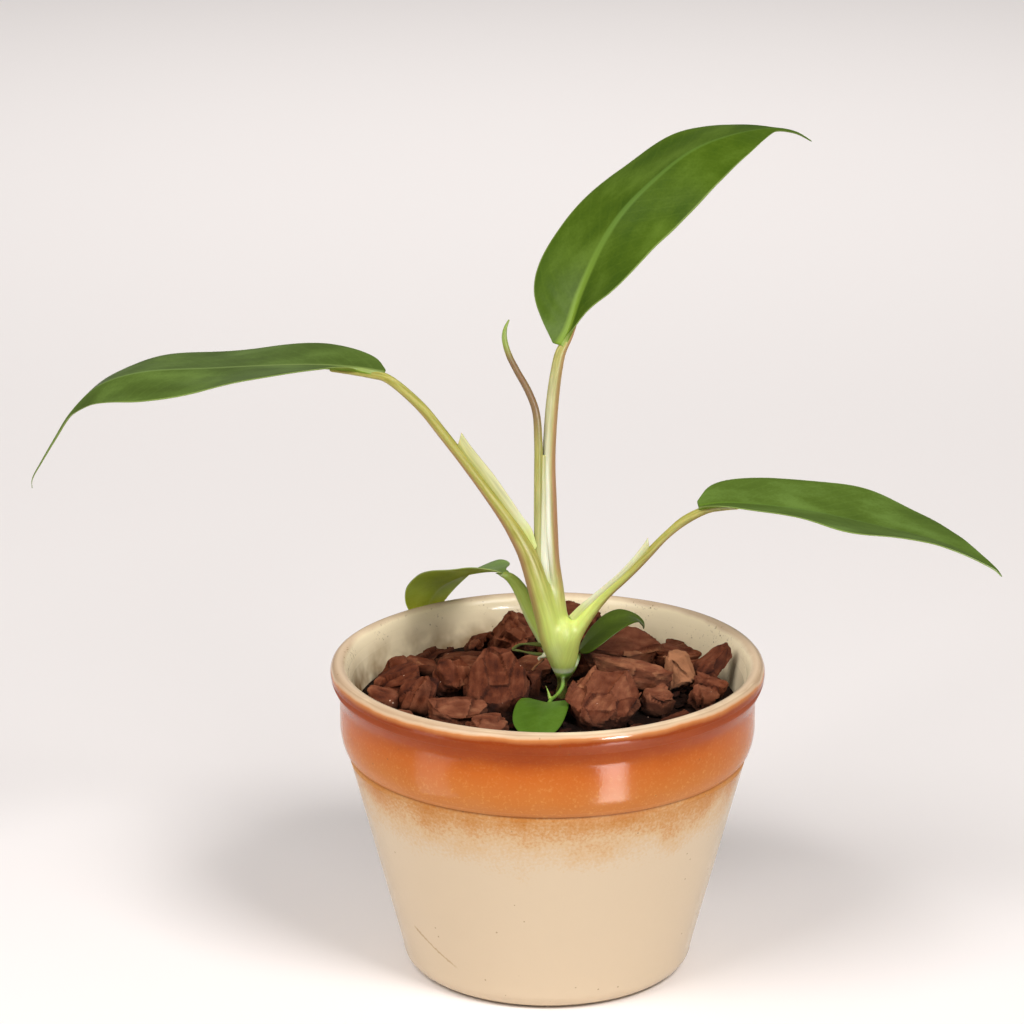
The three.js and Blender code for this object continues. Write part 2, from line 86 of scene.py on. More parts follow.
def linear(colour: str) -> tuple[float, float, float, float]:
    """Turn an sRGB hex colour to linear light.

    Args:
        colour: The colour as "#rrggbb".

    Returns:
        Linear red, green, blue and an alpha of one.
    """
    parts = [int(colour[i:i + 2], 16) / 255 for i in (1, 3, 5)]
    red, green, blue = (p / 12.92 if p <= 0.04045 else ((p + 0.055) / 1.055) ** 2.4 for p in parts)
    return red, green, blue, 1.0


def add_node(material: bpy.types.Material, kind: str, *inputs: object, **named: object) -> bpy.types.Node:
    """Add a shader node. An input is a value, a hex colour, a node or a pair of a node and its output.

    Args:
        material: The material that the node goes into.
        kind: The node's type after "ShaderNode".
        inputs: What goes into the inputs in use, in their order.
        named: Properties, and inputs by their name. "stops" sets a colour ramp.

    Returns:
        The new node.
    """
    tree = material.node_tree
    node = tree.nodes.new(f"ShaderNode{kind}")
    for name in [name for name in named if hasattr(node, name)]:
        setattr(node, name, named.pop(name))
    for i, (place, colour) in enumerate(named.pop("stops", ())):
        stop = node.color_ramp.elements.new(place) if i > 1 else node.color_ramp.elements[i]
        stop.position = place
        stop.color = linear(colour) if isinstance(colour, str) else (colour, colour, colour, 1)
    used = [(socket, value) for socket, value in zip((s for s in node.inputs if s.enabled), inputs)]
    for socket, value in [*used, *((node.inputs[name], value) for name, value in named.items())]:
        if isinstance(value, bpy.types.Node):
            value = (value, next(s.name for s in value.outputs if s.enabled))
        if isinstance(value, tuple) and isinstance(value[0], bpy.types.Node):
            source, output = value
            tree.links.new(next(s for s in source.outputs if s.enabled and s.name == output), socket)
        else:
            socket.default_value = linear(value) if isinstance(value, str) else value
    return node


class Finish:
    """A finish, which draws its colours and relief on an empty material."""

    name: str

    def draw(self, add: AddNode) -> dict[str, object]:
        """Add the nodes, and give the shader's inputs."""
        raise NotImplementedError

    def make(self) -> bpy.types.Material:
        """Draw the finish and close it with its shader."""
        material = bpy.data.materials.new(self.name)
        material.use_nodes = True
        material.node_tree.nodes.clear()
        add = partial(add_node, material)
        add("OutputMaterial", Surface=add("BsdfPrincipled", **self.draw(add)))
        return material


def activate(*pieces: bpy.types.Object) -> None:
    """Select the given pieces alone, the first one active.

    Args:
        pieces: The objects to select.
    """
    for obj in bpy.context.view_layer.objects:
        obj.select_set(False)
    for obj in pieces:
        obj.select_set(True)
    bpy.context.view_layer.objects.active = pieces[0]


def finish_with(piece: bpy.types.Object, kind: str, **settings: object) -> None:
    """Add a modifier to a piece and apply it.

    Args:
        piece: The object that the modifier shapes.
        kind: The modifier's type.
        settings: The modifier's values.
    """
    activate(piece)
    modifier = piece.modifiers.new(kind.lower(), kind)
    for name, value in settings.items():
        setattr(modifier, name, value)
    bpy.ops.object.modifier_apply(modifier=modifier.name)


def edit(piece: bpy.types.Object, *steps: Callable[[], object]) -> None:
    """Run operators on all of a piece's mesh in edit mode.

    Args:
        piece: The object to edit.
        steps: The operators, each ready to be called.
    """
    activate(piece)
    bpy.ops.object.mode_set(mode="EDIT")
    for step in steps:
        bpy.ops.mesh.select_all(action="SELECT")
        step()
    bpy.ops.object.mode_set(mode="OBJECT")


def merge(piece: bpy.types.Object, distance: float) -> None:
    """Merge a piece's doubled points.

    Args:
        piece: The object to clean.
        distance: The largest gap that is closed, in millimetres.
    """
    edit(piece, lambda: bpy.ops.mesh.remove_doubles(threshold=distance * MM))


def face_outwards(piece: bpy.types.Object) -> None:
    """Turn every face of a closed piece outwards."""
    edit(piece, lambda: bpy.ops.mesh.normals_make_consistent(inside=False))


def sheet(name: str, columns: int, rows: int, surface: Callable[[float, float], Vector]) -> bpy.types.Object:
    """Shape a grid over a surface.

    Args:
        name: The new object's name.
        columns: Faces over the first direction.
        rows: Faces over the second direction.
        surface: Gives the point, in millimetres, at two shares from 0 to 1.

    Returns:
        The new object, with the grid's own UV map.
    """
    bpy.ops.mesh.primitive_grid_add(x_subdivisions=columns, y_subdivisions=rows, size=1)
    piece = bpy.context.object
    piece.name = piece.data.name = name
    for vertex in piece.data.vertices:
        a, b = vertex.co.x + 0.5, vertex.co.y + 0.5
        vertex.co = surface(min(max(a, 0.0), 1.0), min(max(b, 0.0), 1.0)) * MM
    return piece


def tube(name: str, sides: int, steps: int, ring: Callable[[float, float], Vector]) -> bpy.types.Object:
    """Roll a grid into a closed tube.

    Args:
        name: The new object's name.
        sides: Faces around.
        steps: Faces along.
        ring: Gives the point at an angle in radians and a share along.

    Returns:
        The closed tube.
    """
    piece = sheet(name, sides, steps, lambda a, b: ring(2 * math.pi * a, b))
    merge(piece, 0.002)
    edit(piece, lambda: bpy.ops.mesh.fill_holes(sides=0))
    face_outwards(piece)
    return piece


def turned(name: str, outline: Sequence[tuple[float, float]], steps: int, gap: float) -> bpy.types.Object:
    """Extrude an outline from a point on the axis and spin it round, as on a wheel.

    Args:
        name: The new object's name.
        outline: Radius and height pairs in millimetres, from axis to axis.
        steps: Faces around.
        gap: The largest gap that is closed, in millimetres.

    Returns:
        The closed solid.
    """
    bpy.ops.mesh.primitive_plane_add(size=MM, location=(0, 0, outline[0][1] * MM))
    piece = bpy.context.object
    piece.name = piece.data.name = name
    bpy.ops.object.transform_apply(location=True)
    bpy.ops.object.mode_set(mode="EDIT")
    bpy.ops.mesh.select_all(action="SELECT")
    bpy.ops.mesh.merge(type="CENTER")
    for (r0, z0), (r1, z1) in zip(outline, outline[1:]):
        step = ((r1 - r0) * MM, 0, (z1 - z0) * MM)
        bpy.ops.mesh.extrude_region_move(TRANSFORM_OT_translate={"value": step})
    bpy.ops.mesh.select_all(action="SELECT")
    bpy.ops.mesh.spin(steps=steps, angle=2 * math.pi, center=(0, 0, 0), axis=(0, 0, 1))
    bpy.ops.object.mode_set(mode="OBJECT")
    merge(piece, gap)
    face_outwards(piece)
    return piece


def join(pieces: Sequence[bpy.types.Object]) -> bpy.types.Object:
    """Join pieces into the first one.

    Args:
        pieces: The objects to join.

    Returns:
        The joined object.
    """
    activate(*pieces)
    bpy.ops.object.join()
    return pieces[0]


def smooth(piece: bpy.types.Object, angle: float = 180) -> None:
    """Shade a piece smooth where its faces meet at less than an angle in degrees."""
    activate(piece)
    bpy.ops.object.shade_smooth_by_angle(angle=math.radians(angle))


def paint(piece: bpy.types.Object, **masks: Sequence) -> None:
    """Store numbers or vectors for the points of a piece.

    Args:
        piece: The object whose mesh takes the attributes.
        masks: One float or three for each point, by the attribute's name, which the material reads.
    """
    for name, values in masks.items():
        flat = np.asarray(values, dtype=np.float32)
        kind, key = ("FLOAT_VECTOR", "vector") if flat.ndim == 2 else ("FLOAT", "value")
        layer = piece.data.attributes.new(name, kind, "POINT")
        layer.data.foreach_set(key, flat.ravel())


def points_of(piece: bpy.types.Object) -> np.ndarray:
    """Read a mesh's points.

    Args:
        piece: The object to read.

    Returns:
        Its points in millimetres, one row each.
    """
    flat = np.empty(len(piece.data.vertices) * 3, dtype=np.float32)
    piece.data.vertices.foreach_get("co", flat)
    return flat.reshape(-1, 3) / MM


def settle(piece: bpy.types.Object, slot: Slot, nodes: Sequence[str], *materials: bpy.types.Material) -> None:
    """Dress a finished piece and say what it stands for.

    Args:
        piece: The finished object.
        slot: The record's slot of its finish; not used.
        nodes: The CAD nodes that it replaces.
        materials: Its materials, in the order of its faces' numbers.
    """
    if list(piece.data.materials) != list(materials):
        piece.data.materials.clear()
        for material in materials:
            piece.data.materials.append(material)
    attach(piece, ROOT)
    if nodes:
        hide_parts(*nodes)
    log.info("%s: %d faces, for %s", piece.name, len(piece.data.polygons), ", ".join(nodes) or "no node")


def ease(x: float, low: float, high: float) -> float:
    """Rise smoothly from 0 to 1 between two values.

    Args:
        x: Where the rise is read.
        low: Where it is 0.
        high: Where it is 1.

    Returns:
        The rise at x.
    """
    t = min(max((x - low) / (high - low), 0.0), 1.0)
    return t * t * (3 - 2 * t)


def fall(x: float, start: float, end: float) -> float:
    """Fall smoothly from 1 to 0 between two values."""
    return ease(-x, -end, -start)


def along(stations: Sequence[float], values: Sequence[float], u: float) -> float:
    """Follow a smooth curve through values at stations, as the CAD does.

    Args:
        stations: Rising places of the values.
        values: One value for each station.
        u: Where the curve is read.

    Returns:
        The curve's value at u.
    """
    last = len(stations) - 1
    i = 0
    while i < last - 1 and u > stations[i + 1]:
        i += 1

    def slope(k: int) -> float:
        """Give the slope at a station from its neighbours."""
        a, b = max(k - 1, 0), min(k + 1, last)
        return (values[b] - values[a]) / (stations[b] - stations[a])

    span = stations[i + 1] - stations[i]
    t = min(max((u - stations[i]) / span, 0.0), 1.0)
    rise = values[i + 1] - values[i]
    first = slope(i) * span - rise
    second = rise - slope(i + 1) * span
    return values[i] + t * rise + t * (1 - t) * (first * (1 - t) + second * t)


def evenly(values: Sequence[float], u: float) -> float:
    """Follow a smooth curve through values spread evenly from 0 to 1."""
    return along([i / (len(values) - 1) for i in range(len(values))], values, u)


class CentreLine:
    """Centripetal curve through points, the same as the CAD's, read by its own length."""

    SAMPLES = 480
    REACH = 0.004

    def __init__(self, points: Sequence[Point]) -> None:
        """Sample the curve.

        Args:
            points: The points that it passes, in millimetres.
        """
        self.points = [Vector(p) for p in points]
        self.table = [self._raw(i / self.SAMPLES) for i in range(self.SAMPLES + 1)]
        steps = [(b - a).length for a, b in zip(self.table, self.table[1:])]
        self.lengths = [0.0, *np.cumsum(steps).tolist()]
        self.length = self.lengths[-1]

    def _raw(self, t: float) -> Vector:
        """Give the point at a share of the point numbers."""
        points, last = self.points, len(self.points) - 1
        i = min(int(t * last), last - 1)
        weight = t * last - i
        p1, p2 = points[i], points[i + 1]
        p0 = points[i - 1] if i > 0 else 2 * p1 - p2
        p3 = points[i + 2] if i + 2 <= last else 2 * p2 - p1
        d0, d1, d2 = (max((b - a).length, 1e-4) ** 0.5 for a, b in ((p0, p1), (p1, p2), (p2, p3)))
        m1 = ((p1 - p0) / d0 - (p2 - p0) / (d0 + d1) + (p2 - p1) / d1) * d1
        m2 = ((p2 - p1) / d1 - (p3 - p1) / (d1 + d2) + (p3 - p2) / d2) * d1
        w2, w3 = weight ** 2, weight ** 3
        return (p1 + m1 * weight + (3 * (p2 - p1) - 2 * m1 - m2) * w2 + (2 * (p1 - p2) + m1 + m2) * w3)

    def share_at(self, index: int) -> float:
        """Give the share of the length up to one of the points."""
        return self.lengths[round(self.SAMPLES * index / (len(self.points) - 1))] / self.length

    def _find(self, share: float) -> tuple[int, float]:
        """Give the sample before a share of the length, and the rest after it."""
        target = min(max(share, 0.0), 1.0) * self.length
        i = int(np.searchsorted(self.lengths, target, side="right")) - 1
        i = min(max(i, 0), self.SAMPLES - 1)
        return i, (target - self.lengths[i]) / max(self.lengths[i + 1] - self.lengths[i], 1e-9)

    def at(self, share: float) -> Vector:
        """Give the point at a share of the length."""
        i, rest = self._find(share)
        return self.table[i].lerp(self.table[i + 1], rest)

    def parameter(self, share: float) -> float:
        """Give the share of the point numbers at a share of the length."""
        i, rest = self._find(share)
        return (i + rest) / self.SAMPLES

    def tangent(self, share: float) -> Vector:
        """Give the direction at a share of the length."""
        return (self.at(share + self.REACH) - self.at(share - self.REACH)).normalized()

    def spoke(self, share: float, angle: float, lean: float = 0.02) -> Vector:
        """Give the direction away from the line at an angle in its cross-section."""
        tangent = self.tangent(share)
        side = tangent.cross(Vector((0, 1, lean))).normalized()
        up = side.cross(tangent)
        return side * math.cos(angle) + up * math.sin(angle)


@dataclass(frozen=True)
class StonewareGlaze(Finish):
    """Glazed stoneware: cream over an orange collar, with a sprayed fade and a clear, glossy coat."""

    name: str = "glazed_stoneware"
    cream: str = "#d0bca0"
    inner: str = "#f6e3bf"
    top: str = "#cfb496"
    crest: str = "#b6987a"
    fleck: str = "#d08f4c"
    lip: str = "#c27e4a"
    line: str = "#8a4a1e"
    stain_and_shadow: str = "#84613a"
    crack: str = "#94703c"
    iron: str = "#6b4526"
    fade: Sequence[str] = ("#cdac84", "#c38f59", "#b87634")
    collar: Sequence[str] = ("#c07a40", "#bc6e2e", "#b85d1b", "#9e4208", "#8c3703")
    roughness: float = 0.16
    sunk_roughness: float = 0.6
    crack_ends: tuple[Point, Point] = ((-39.8, -26.1, 20.5), (-26.3, -36.6, 10.8))
    # Heights in millimetres between which each part of the glaze comes in.
    fade_span: Span = (30.0, 70.0)
    collar_edge: Span = (67.9, 68.5)
    collar_span: Span = (68.0, 92.0)
    line_span: Span = (66.6, 69.6)
    sunk_span: Span = (65.5, 92.0)
    fleck_span: Span = (70.0, 88.0)
    lip_edge: Span = (92.4, 93.9)
    rim_edge: Span = (93.8, 95.0)
    crest_edge: Span = (94.4, 95.4)
    wet_span: Span = (92.5, 83.5)

    def draw(self, add: AddNode) -> dict[str, object]:
        """Draw the glaze on Object coordinates, with heights in millimetres, and give the shader's inputs."""
        place = add("TexCoord")
        mm = add("Mapping", Scale=(1000, 1000, 1000), Vector=(place, "Object"))
        height = add("SeparateXYZ", mm)
        # The spray drifts over about 12 mm and its drops are 0.4 to 1 mm, drawn at 0.9 mm.
        drift = add("TexNoise", Scale=0.08, Detail=3.0, Vector=mm)
        drops = add("TexNoise", Scale=1.1, Detail=2.0, Roughness=0.6, Vector=mm)
        blur = add("Math", drops, 16.0, -8.0, operation="MULTIPLY_ADD")
        wave = add("Math", drift, 18.0, -9.0, operation="MULTIPLY_ADD")
        both = add("Math", blur, wave, operation="ADD")
        low = add("Math", (height, "Z"), both, operation="ADD")
        body = add("MapRange", low, *self.fade_span)
        body_colour = add("ValToRGB", body, stops=[(0.0, self.cream), (0.5, self.cream),
                                                   *zip((0.7, 0.85, 1.0), self.fade)])
        # The collar's orange is thin and yellow low down and thick and dark below the lip; its darkest band,
        # in the hollow under the overhanging lip, is partly painted shade.
        rise = add("Math", drift, 6.0, -3.0, operation="MULTIPLY_ADD")
        level = add("Math", (height, "Z"), rise, operation="ADD")
        thick = add("MapRange", level, *self.collar_span)
        tone = add("ValToRGB", thick, stops=list(zip((0.0, 0.22, 0.55, 0.8, 1.0), self.collar)))
        spray = add("MapRange", drops, 0.54, 0.72, 0.0, 0.6)
        thinned = add("MapRange", level, *self.fleck_span, 1.0, 0.1)
        flecks = add("Math", spray, thinned, operation="MULTIPLY")
        flecked = add("Mix", flecks, tone, self.fleck, data_type="RGBA")
        # A gentle wobble of 0.3 mm keeps the glaze borders from being ruled lines.
        edge = add("Math", drift, 1.6, -0.8, operation="MULTIPLY_ADD")
        z = add("Math", (height, "Z"), edge, operation="ADD")
        on_collar = add("MapRange", z, *self.collar_edge)
        coloured = add("Mix", on_collar, body_colour, flecked, data_type="RGBA")
        # The glaze pools thin over the rounded lip, so it breaks to light orange and then cream.
        lip = add("MapRange", z, *self.lip_edge)
        lipped = add("Mix", lip, coloured, self.lip, data_type="RGBA")
        # The rim and the inner wall take a paler cream than the body; on the inner wall this is painted
        # light, as it gets less light than the outside.
        rim = add("MapRange", z, *self.rim_edge)
        inside = add("Attribute", attribute_name="inside")
        pale = add("Math", rim, (inside, "Fac"), operation="MAXIMUM")
        creamy = add("Mix", pale, lipped, self.inner, data_type="RGBA")
        # The rim's crest is a little browner, most on its outer half.
        outer = add("Attribute", attribute_name="outer")
        crest = add("Mix", (outer, "Fac"), self.top, self.crest, data_type="RGBA")
        top = add("MapRange", z, *self.crest_edge)
        crest_share = add("Math", top, (outer, "Fac"), operation="MAXIMUM")
        crest_tint = add("Math", crest_share, pale, operation="MULTIPLY")
        rimmed = add("Mix", crest_tint, creamy, crest, data_type="RGBA")
        # Tannin from the wet bark stains the inner wall in patches of about 10 mm.
        wet = add("MapRange", z, *self.wet_span)
        patchy = add("MapRange", drift, 0.38, 0.6, 0.2, 1.0)
        soaked = add("Math", wet, patchy, operation="MULTIPLY")
        # The stain is painted darker towards the left of the wall, as painted shadow of the small left leaf
        # and the stalks.
        left_shadow = add("MapRange", (height, "X"), -30.0, 25.0, 1.0, 0.3)
        uneven = add("Math", soaked, left_shadow, operation="MULTIPLY")
        stain_and_shadow = add("Math", uneven, (inside, "Fac"), operation="MULTIPLY")
        # Grime sits in pits of 0.5 to 1 mm, in cloudy patches on the inner wall.
        pits = add("MapRange", drops, 0.6, 0.72, 0.0, 0.8)
        grimy = add("MapRange", drift, 0.48, 0.62)
        speckled = add("Math", pits, grimy, operation="MULTIPLY")
        dirt = add("Math", speckled, (inside, "Fac"), operation="MULTIPLY")
        # The inner wall's marks: tannin stain, grime, and the painted shadow on its left.
        blotchy = add("Math", stain_and_shadow, dirt, operation="MAXIMUM")
        stained_and_shadowed = add("Mix", blotchy, rimmed, self.stain_and_shadow, data_type="RGBA")
        # The incised line holds a dark pool of glaze, 1 mm high.
        near_line = add("MapRange", (height, "Z"), *self.line_span)
        groove = add("ValToRGB", near_line, stops=[(0.0, 0.0), (0.35, 0.0), (0.5, 0.5), (0.65, 0.0)])
        lined = add("Mix", groove, stained_and_shadowed, self.line, data_type="RGBA")
        # Iron specks of about 0.5 mm, some 6 mm apart.
        cells = add("TexVoronoi", Scale=0.17, Vector=mm)
        speck = add("Math", cells, 0.05, operation="LESS_THAN")
        faint = add("Math", speck, 0.45, operation="MULTIPLY")
        specked = add("Mix", faint, lined, self.iron, data_type="RGBA")
        cracked = self.hairline(add, mm, drops, specked)
        # The coat is duller in the hollow below the lip and beside the incised line, where it has sunk in.
        up_collar = add("MapRange", (height, "Z"), *self.sunk_span)
        hollow = add("ValToRGB", up_collar, stops=[
            (0.0, 0.0), (0.03, 1.0), (0.13, 1.0), (0.17, 0.0),
            (0.87, 0.0), (0.91, 1.0), (0.97, 1.0), (1.0, 0.0)])
        dull = add("MapRange", hollow, 0.0, 1.0, self.roughness, self.sunk_roughness)
        relief = add("TexNoise", Scale=0.35, Detail=2.0, Vector=mm)
        bump = add("Bump", Strength=0.25, Distance=0.0002, Height=relief)
        # The fired coat has an orange peel of about 1 mm, which mottles its reflections.
        peel = add("Bump", Strength=0.3, Distance=0.0001, Height=drops, Normal=bump)
        return {"IOR": 1.5, "Specular IOR Level": 0.14, "Roughness": dull, "Base Color": cracked,
                "Normal": peel}

    def hairline(self, add: AddNode, mm: bpy.types.Node, drops: bpy.types.Node,
                 below: bpy.types.Node) -> bpy.types.Node:
        """Draw the one fine firing crack near the foot, 0.6 mm wide so that it shows.

        Args:
            add: Adds a node to the glaze.
            mm: Place in millimetres.
            drops: Fine noise that keeps the crack from being straight.
            below: The colour so far.

        Returns:
            The colour with the crack.
        """
        start, end = map(Vector, self.crack_ends)
        middle = Vector((0, 0, 15.6))
        across = (start - middle).cross(end - middle).normalized()
        along_it = (end - start).normalized()
        off = add("VectorMath", mm, across, operation="DOT_PRODUCT")
        wander = add("Math", drops, 1.2, -0.6 - across.dot(middle), operation="MULTIPLY_ADD")
        shifted = add("Math", off, wander, operation="ADD")
        distance = add("Math", shifted, operation="ABSOLUTE")
        thin = add("MapRange", distance, 0.1, 0.55, 0.6, 0.0)
        run = add("VectorMath", mm, along_it, operation="DOT_PRODUCT")
        place = add("MapRange", run, along_it.dot(start), along_it.dot(end))
        ends = add("ValToRGB", place, stops=[(0.0, 0.0), (0.08, 1.0), (0.85, 0.8), (1.0, 0.0)])
        front = add("VectorMath", mm, (0, -1, 0), operation="DOT_PRODUCT")
        facing = add("Math", front, 0.0, operation="GREATER_THAN")
        lit = add("Math", thin, ends, operation="MULTIPLY")
        mask = add("Math", lit, facing, operation="MULTIPLY")
        return add("Mix", mask, below, self.crack, data_type="RGBA")


@dataclass(frozen=True)
class PineBark(Finish):
    """Pine bark: smooth broken plies in red-brown, matt, with long fibres, and painted shade low down among
    the pieces.
    """

    name: str = "pine_bark"
    hollow: str = "#140803"
    dark: str = "#3f190b"
    middle: str = "#602e19"
    light: str = "#7e4830"
    cut: str = "#a46e4c"
    glint_colour: str = "#d9b49c"
    fibre_depth: float = 0.3
    roughness: float = 0.85

    def draw(self, add: AddNode) -> dict[str, object]:
        """Draw the bark on each chip's own grain attribute, in millimetres, and give the shader's inputs."""
        grain = add("Attribute", attribute_name="grain")
        tone = add("Attribute", attribute_name="tone")
        crack = add("Attribute", attribute_name="crack")
        # Fibres 0.6 mm across and some 1.5 mm long; x is along the fibres and z through the plies.
        stretched = add("Mapping", Scale=(0.4, 1.0, 1.3), Vector=(grain, "Vector"))
        fibres = add("TexNoise", Scale=1.7, Detail=5.0, Roughness=0.75, Vector=stretched)
        # Weathered patches some 4 mm across.
        patches = add("TexNoise", Scale=0.28, Detail=3.0, Vector=(grain, "Vector"))
        blotchy = add("Math", patches, 0.5, -0.28, operation="MULTIPLY_ADD")
        lined = add("Math", fibres, self.fibre_depth, blotchy, operation="MULTIPLY_ADD")
        toned = add("Math", (tone, "Fac"), lined, operation="ADD")
        colour = add("ValToRGB", toned, stops=[(0.12, self.hollow), (0.3, self.dark), (0.5, self.middle),
                     (0.72, self.light), (1.0, self.cut)])
        # Painted shade: low among the chips the colour is mixed towards near black.
        shaded = add("Mix", (crack, "Fac"), colour, self.hollow, data_type="RGBA")
        # Pale specks of 0.4 mm in a few places are painted glints.
        glint_cells = add("TexVoronoi", Scale=0.4, Vector=(grain, "Vector"))
        glint_spot = add("Math", glint_cells, 0.08, operation="LESS_THAN")
        few = add("Math", patches, 0.62, operation="GREATER_THAN")
        shown = add("Math", glint_spot, few, operation="MULTIPLY")
        glinted = add("Mix", shown, shaded, self.glint_colour, data_type="RGBA")
        bump = add("Bump", Strength=1.0, Distance=0.0006, Height=fibres)
        return {"Roughness": self.roughness, "Specular IOR Level": 0.12, "Base Color": glinted, "Normal": bump}


@dataclass(frozen=True)
class LeafSkin(Finish):
    """Waxy leaf skin: a satin sheen over deep green, with a paler midrib that fades towards the tip."""

    name: str
    deep: str = "#3e560c"
    green: str = "#496012"
    light: str = "#5a7222"
    rib: str = "#70882a"
    rib_far: str = "#546e2a"
    rib_base: float = 1.7
    rib_end: float = 0.3
    rib_share: float = 1.0
    fade_start: float = 0.3
    fade_end: float = 0.7
    margin: str = "#93a35a"
    margin_share: float = 0.5
    roughness: float = 0.36
    gloss: float = 0.18
    glow: float = 0.0

    def draw(self, add: AddNode) -> dict[str, object]:
        """Draw the leaf on the blade's own attribute, and give the shader's inputs.

        The attribute holds millimetres along the leaf and across it, and the share to the margin.
        """
        leaf = add("Attribute", attribute_name="leaf")
        reach = add("Attribute", attribute_name="reach")
        parts = add("SeparateXYZ", (leaf, "Vector"))
        away = add("Math", (parts, "Y"), operation="ABSOLUTE")
        # Cloudy patches some 15 mm across and a grain of 0.8 mm, as leaf cells in groups.
        drawn = add("Mapping", Scale=(0.5, 1.0, 0.0), Vector=(leaf, "Vector"))
        blotches = add("TexNoise", Scale=0.1, Detail=3.0, Roughness=0.5, Vector=drawn)
        grainy = add("TexNoise", Scale=1.2, Detail=2.0, Vector=(leaf, "Vector"))
        soft = add("Math", blotches, 0.82, operation="MULTIPLY")
        cloud = add("Math", grainy, 0.18, soft, operation="MULTIPLY_ADD")
        base = add("ValToRGB", cloud, stops=[(0.36, self.deep), (0.5, self.green), (0.68, self.light)])
        # Side veins some 5 mm apart leave the midrib and bend towards the tip.
        slant = add("Math", away, -1.1, (parts, "X"), operation="MULTIPLY_ADD")
        warp = add("Math", blotches, 5.0, slant, operation="MULTIPLY_ADD")
        veins = add("Math", warp, 2.5, operation="PINGPONG")
        vein = add("MapRange", veins, 0.0, 0.6, 0.2, 0.0)
        veined = add("Mix", vein, base, self.light, data_type="RGBA")
        ageing = add("MapRange", (reach, "Fac"), 0.05, self.fade_start)
        rib_colour = add("Mix", ageing, self.rib, self.rib_far, data_type="RGBA")
        # The midrib narrows from the base, and its colour fades into the blade's.
        half = add("MapRange", (reach, "Fac"), 0.0, self.fade_end, self.rib_base, self.rib_end)
        edge = add("Math", away, half, operation="DIVIDE")
        rib = add("MapRange", edge, 0.55, 1.3, 1.0, 0.0)
        faded = add("MapRange", (reach, "Fac"), self.fade_start, self.fade_end, self.rib_share,
                    0.3 * self.rib_share)
        shown = add("Math", rib, faded, operation="MULTIPLY")
        ribbed = add("Mix", shown, veined, rib_colour, data_type="RGBA")
        border = add("MapRange", (parts, "Z"), 0.965, 0.995, 0.0, self.margin_share)
        edged = add("Mix", border, ribbed, self.margin, data_type="RGBA")
        bump = add("Bump", Strength=0.12, Distance=0.0002, Height=cloud)
        return {"Roughness": self.roughness, "Specular IOR Level": self.gloss, "IOR": 1.45,
                "Subsurface Weight": self.glow, "Subsurface Radius": (1.0, 1.0, 0.3),
                "Subsurface Scale": MM, "Base Color": edged, "Normal": bump}


@dataclass(frozen=True)
class StalkSkin(Finish):
    """Fleshy stalk skin: smooth and half glossy, striped along its length."""

    name: str = "stalk_skin"
    shade: str = "#868034"
    olive: str = "#a09a4a"
    gleam: str = "#b6ac66"
    lime: str = "#c9d66e"
    blush: str = "#a97c58"
    pale: str = "#f0f0e0"
    green: str = "#6c9238"
    earth: str = "#2e2410"
    roughness: float = 0.4

    def draw(self, add: AddNode) -> dict[str, object]:
        """Draw the skin on the stalk's stripe and its mask for each tint, and give the shader's inputs."""
        stripe = add("Attribute", attribute_name="stripe")
        # Stripes 0.4 mm across; the attribute is in millimetres across and shortened along.
        lines = add("TexNoise", Scale=1.6, Detail=3.0, Vector=(stripe, "Vector"))
        below = add("ValToRGB", lines, stops=[(0.3, self.shade), (0.5, self.olive), (0.74, self.gleam)])
        # Each tint mixes in by its own mask; the pale tint also carries painted highlights on the crown and
        # the tall stalk, and the last tint is painted shade low on the crown.
        for name in ("lime", "green", "blush", "pale", "earth"):
            mask = add("Attribute", attribute_name=name)
            below = add("Mix", (mask, "Fac"), below, getattr(self, name), data_type="RGBA")
        # The stripes show faintly through the tints too.
        streaks = add("MapRange", lines, 0.35, 0.65, 0.16, 0.0)
        below = add("Mix", streaks, below, self.shade, data_type="RGBA")
        bump = add("Bump", Strength=0.25, Distance=0.0002, Height=lines)
        return {"Roughness": self.roughness, "IOR": 1.45, "Specular IOR Level": 0.22,
                "Subsurface Weight": 0.15, "Subsurface Scale": MM, "Base Color": below, "Normal": bump}


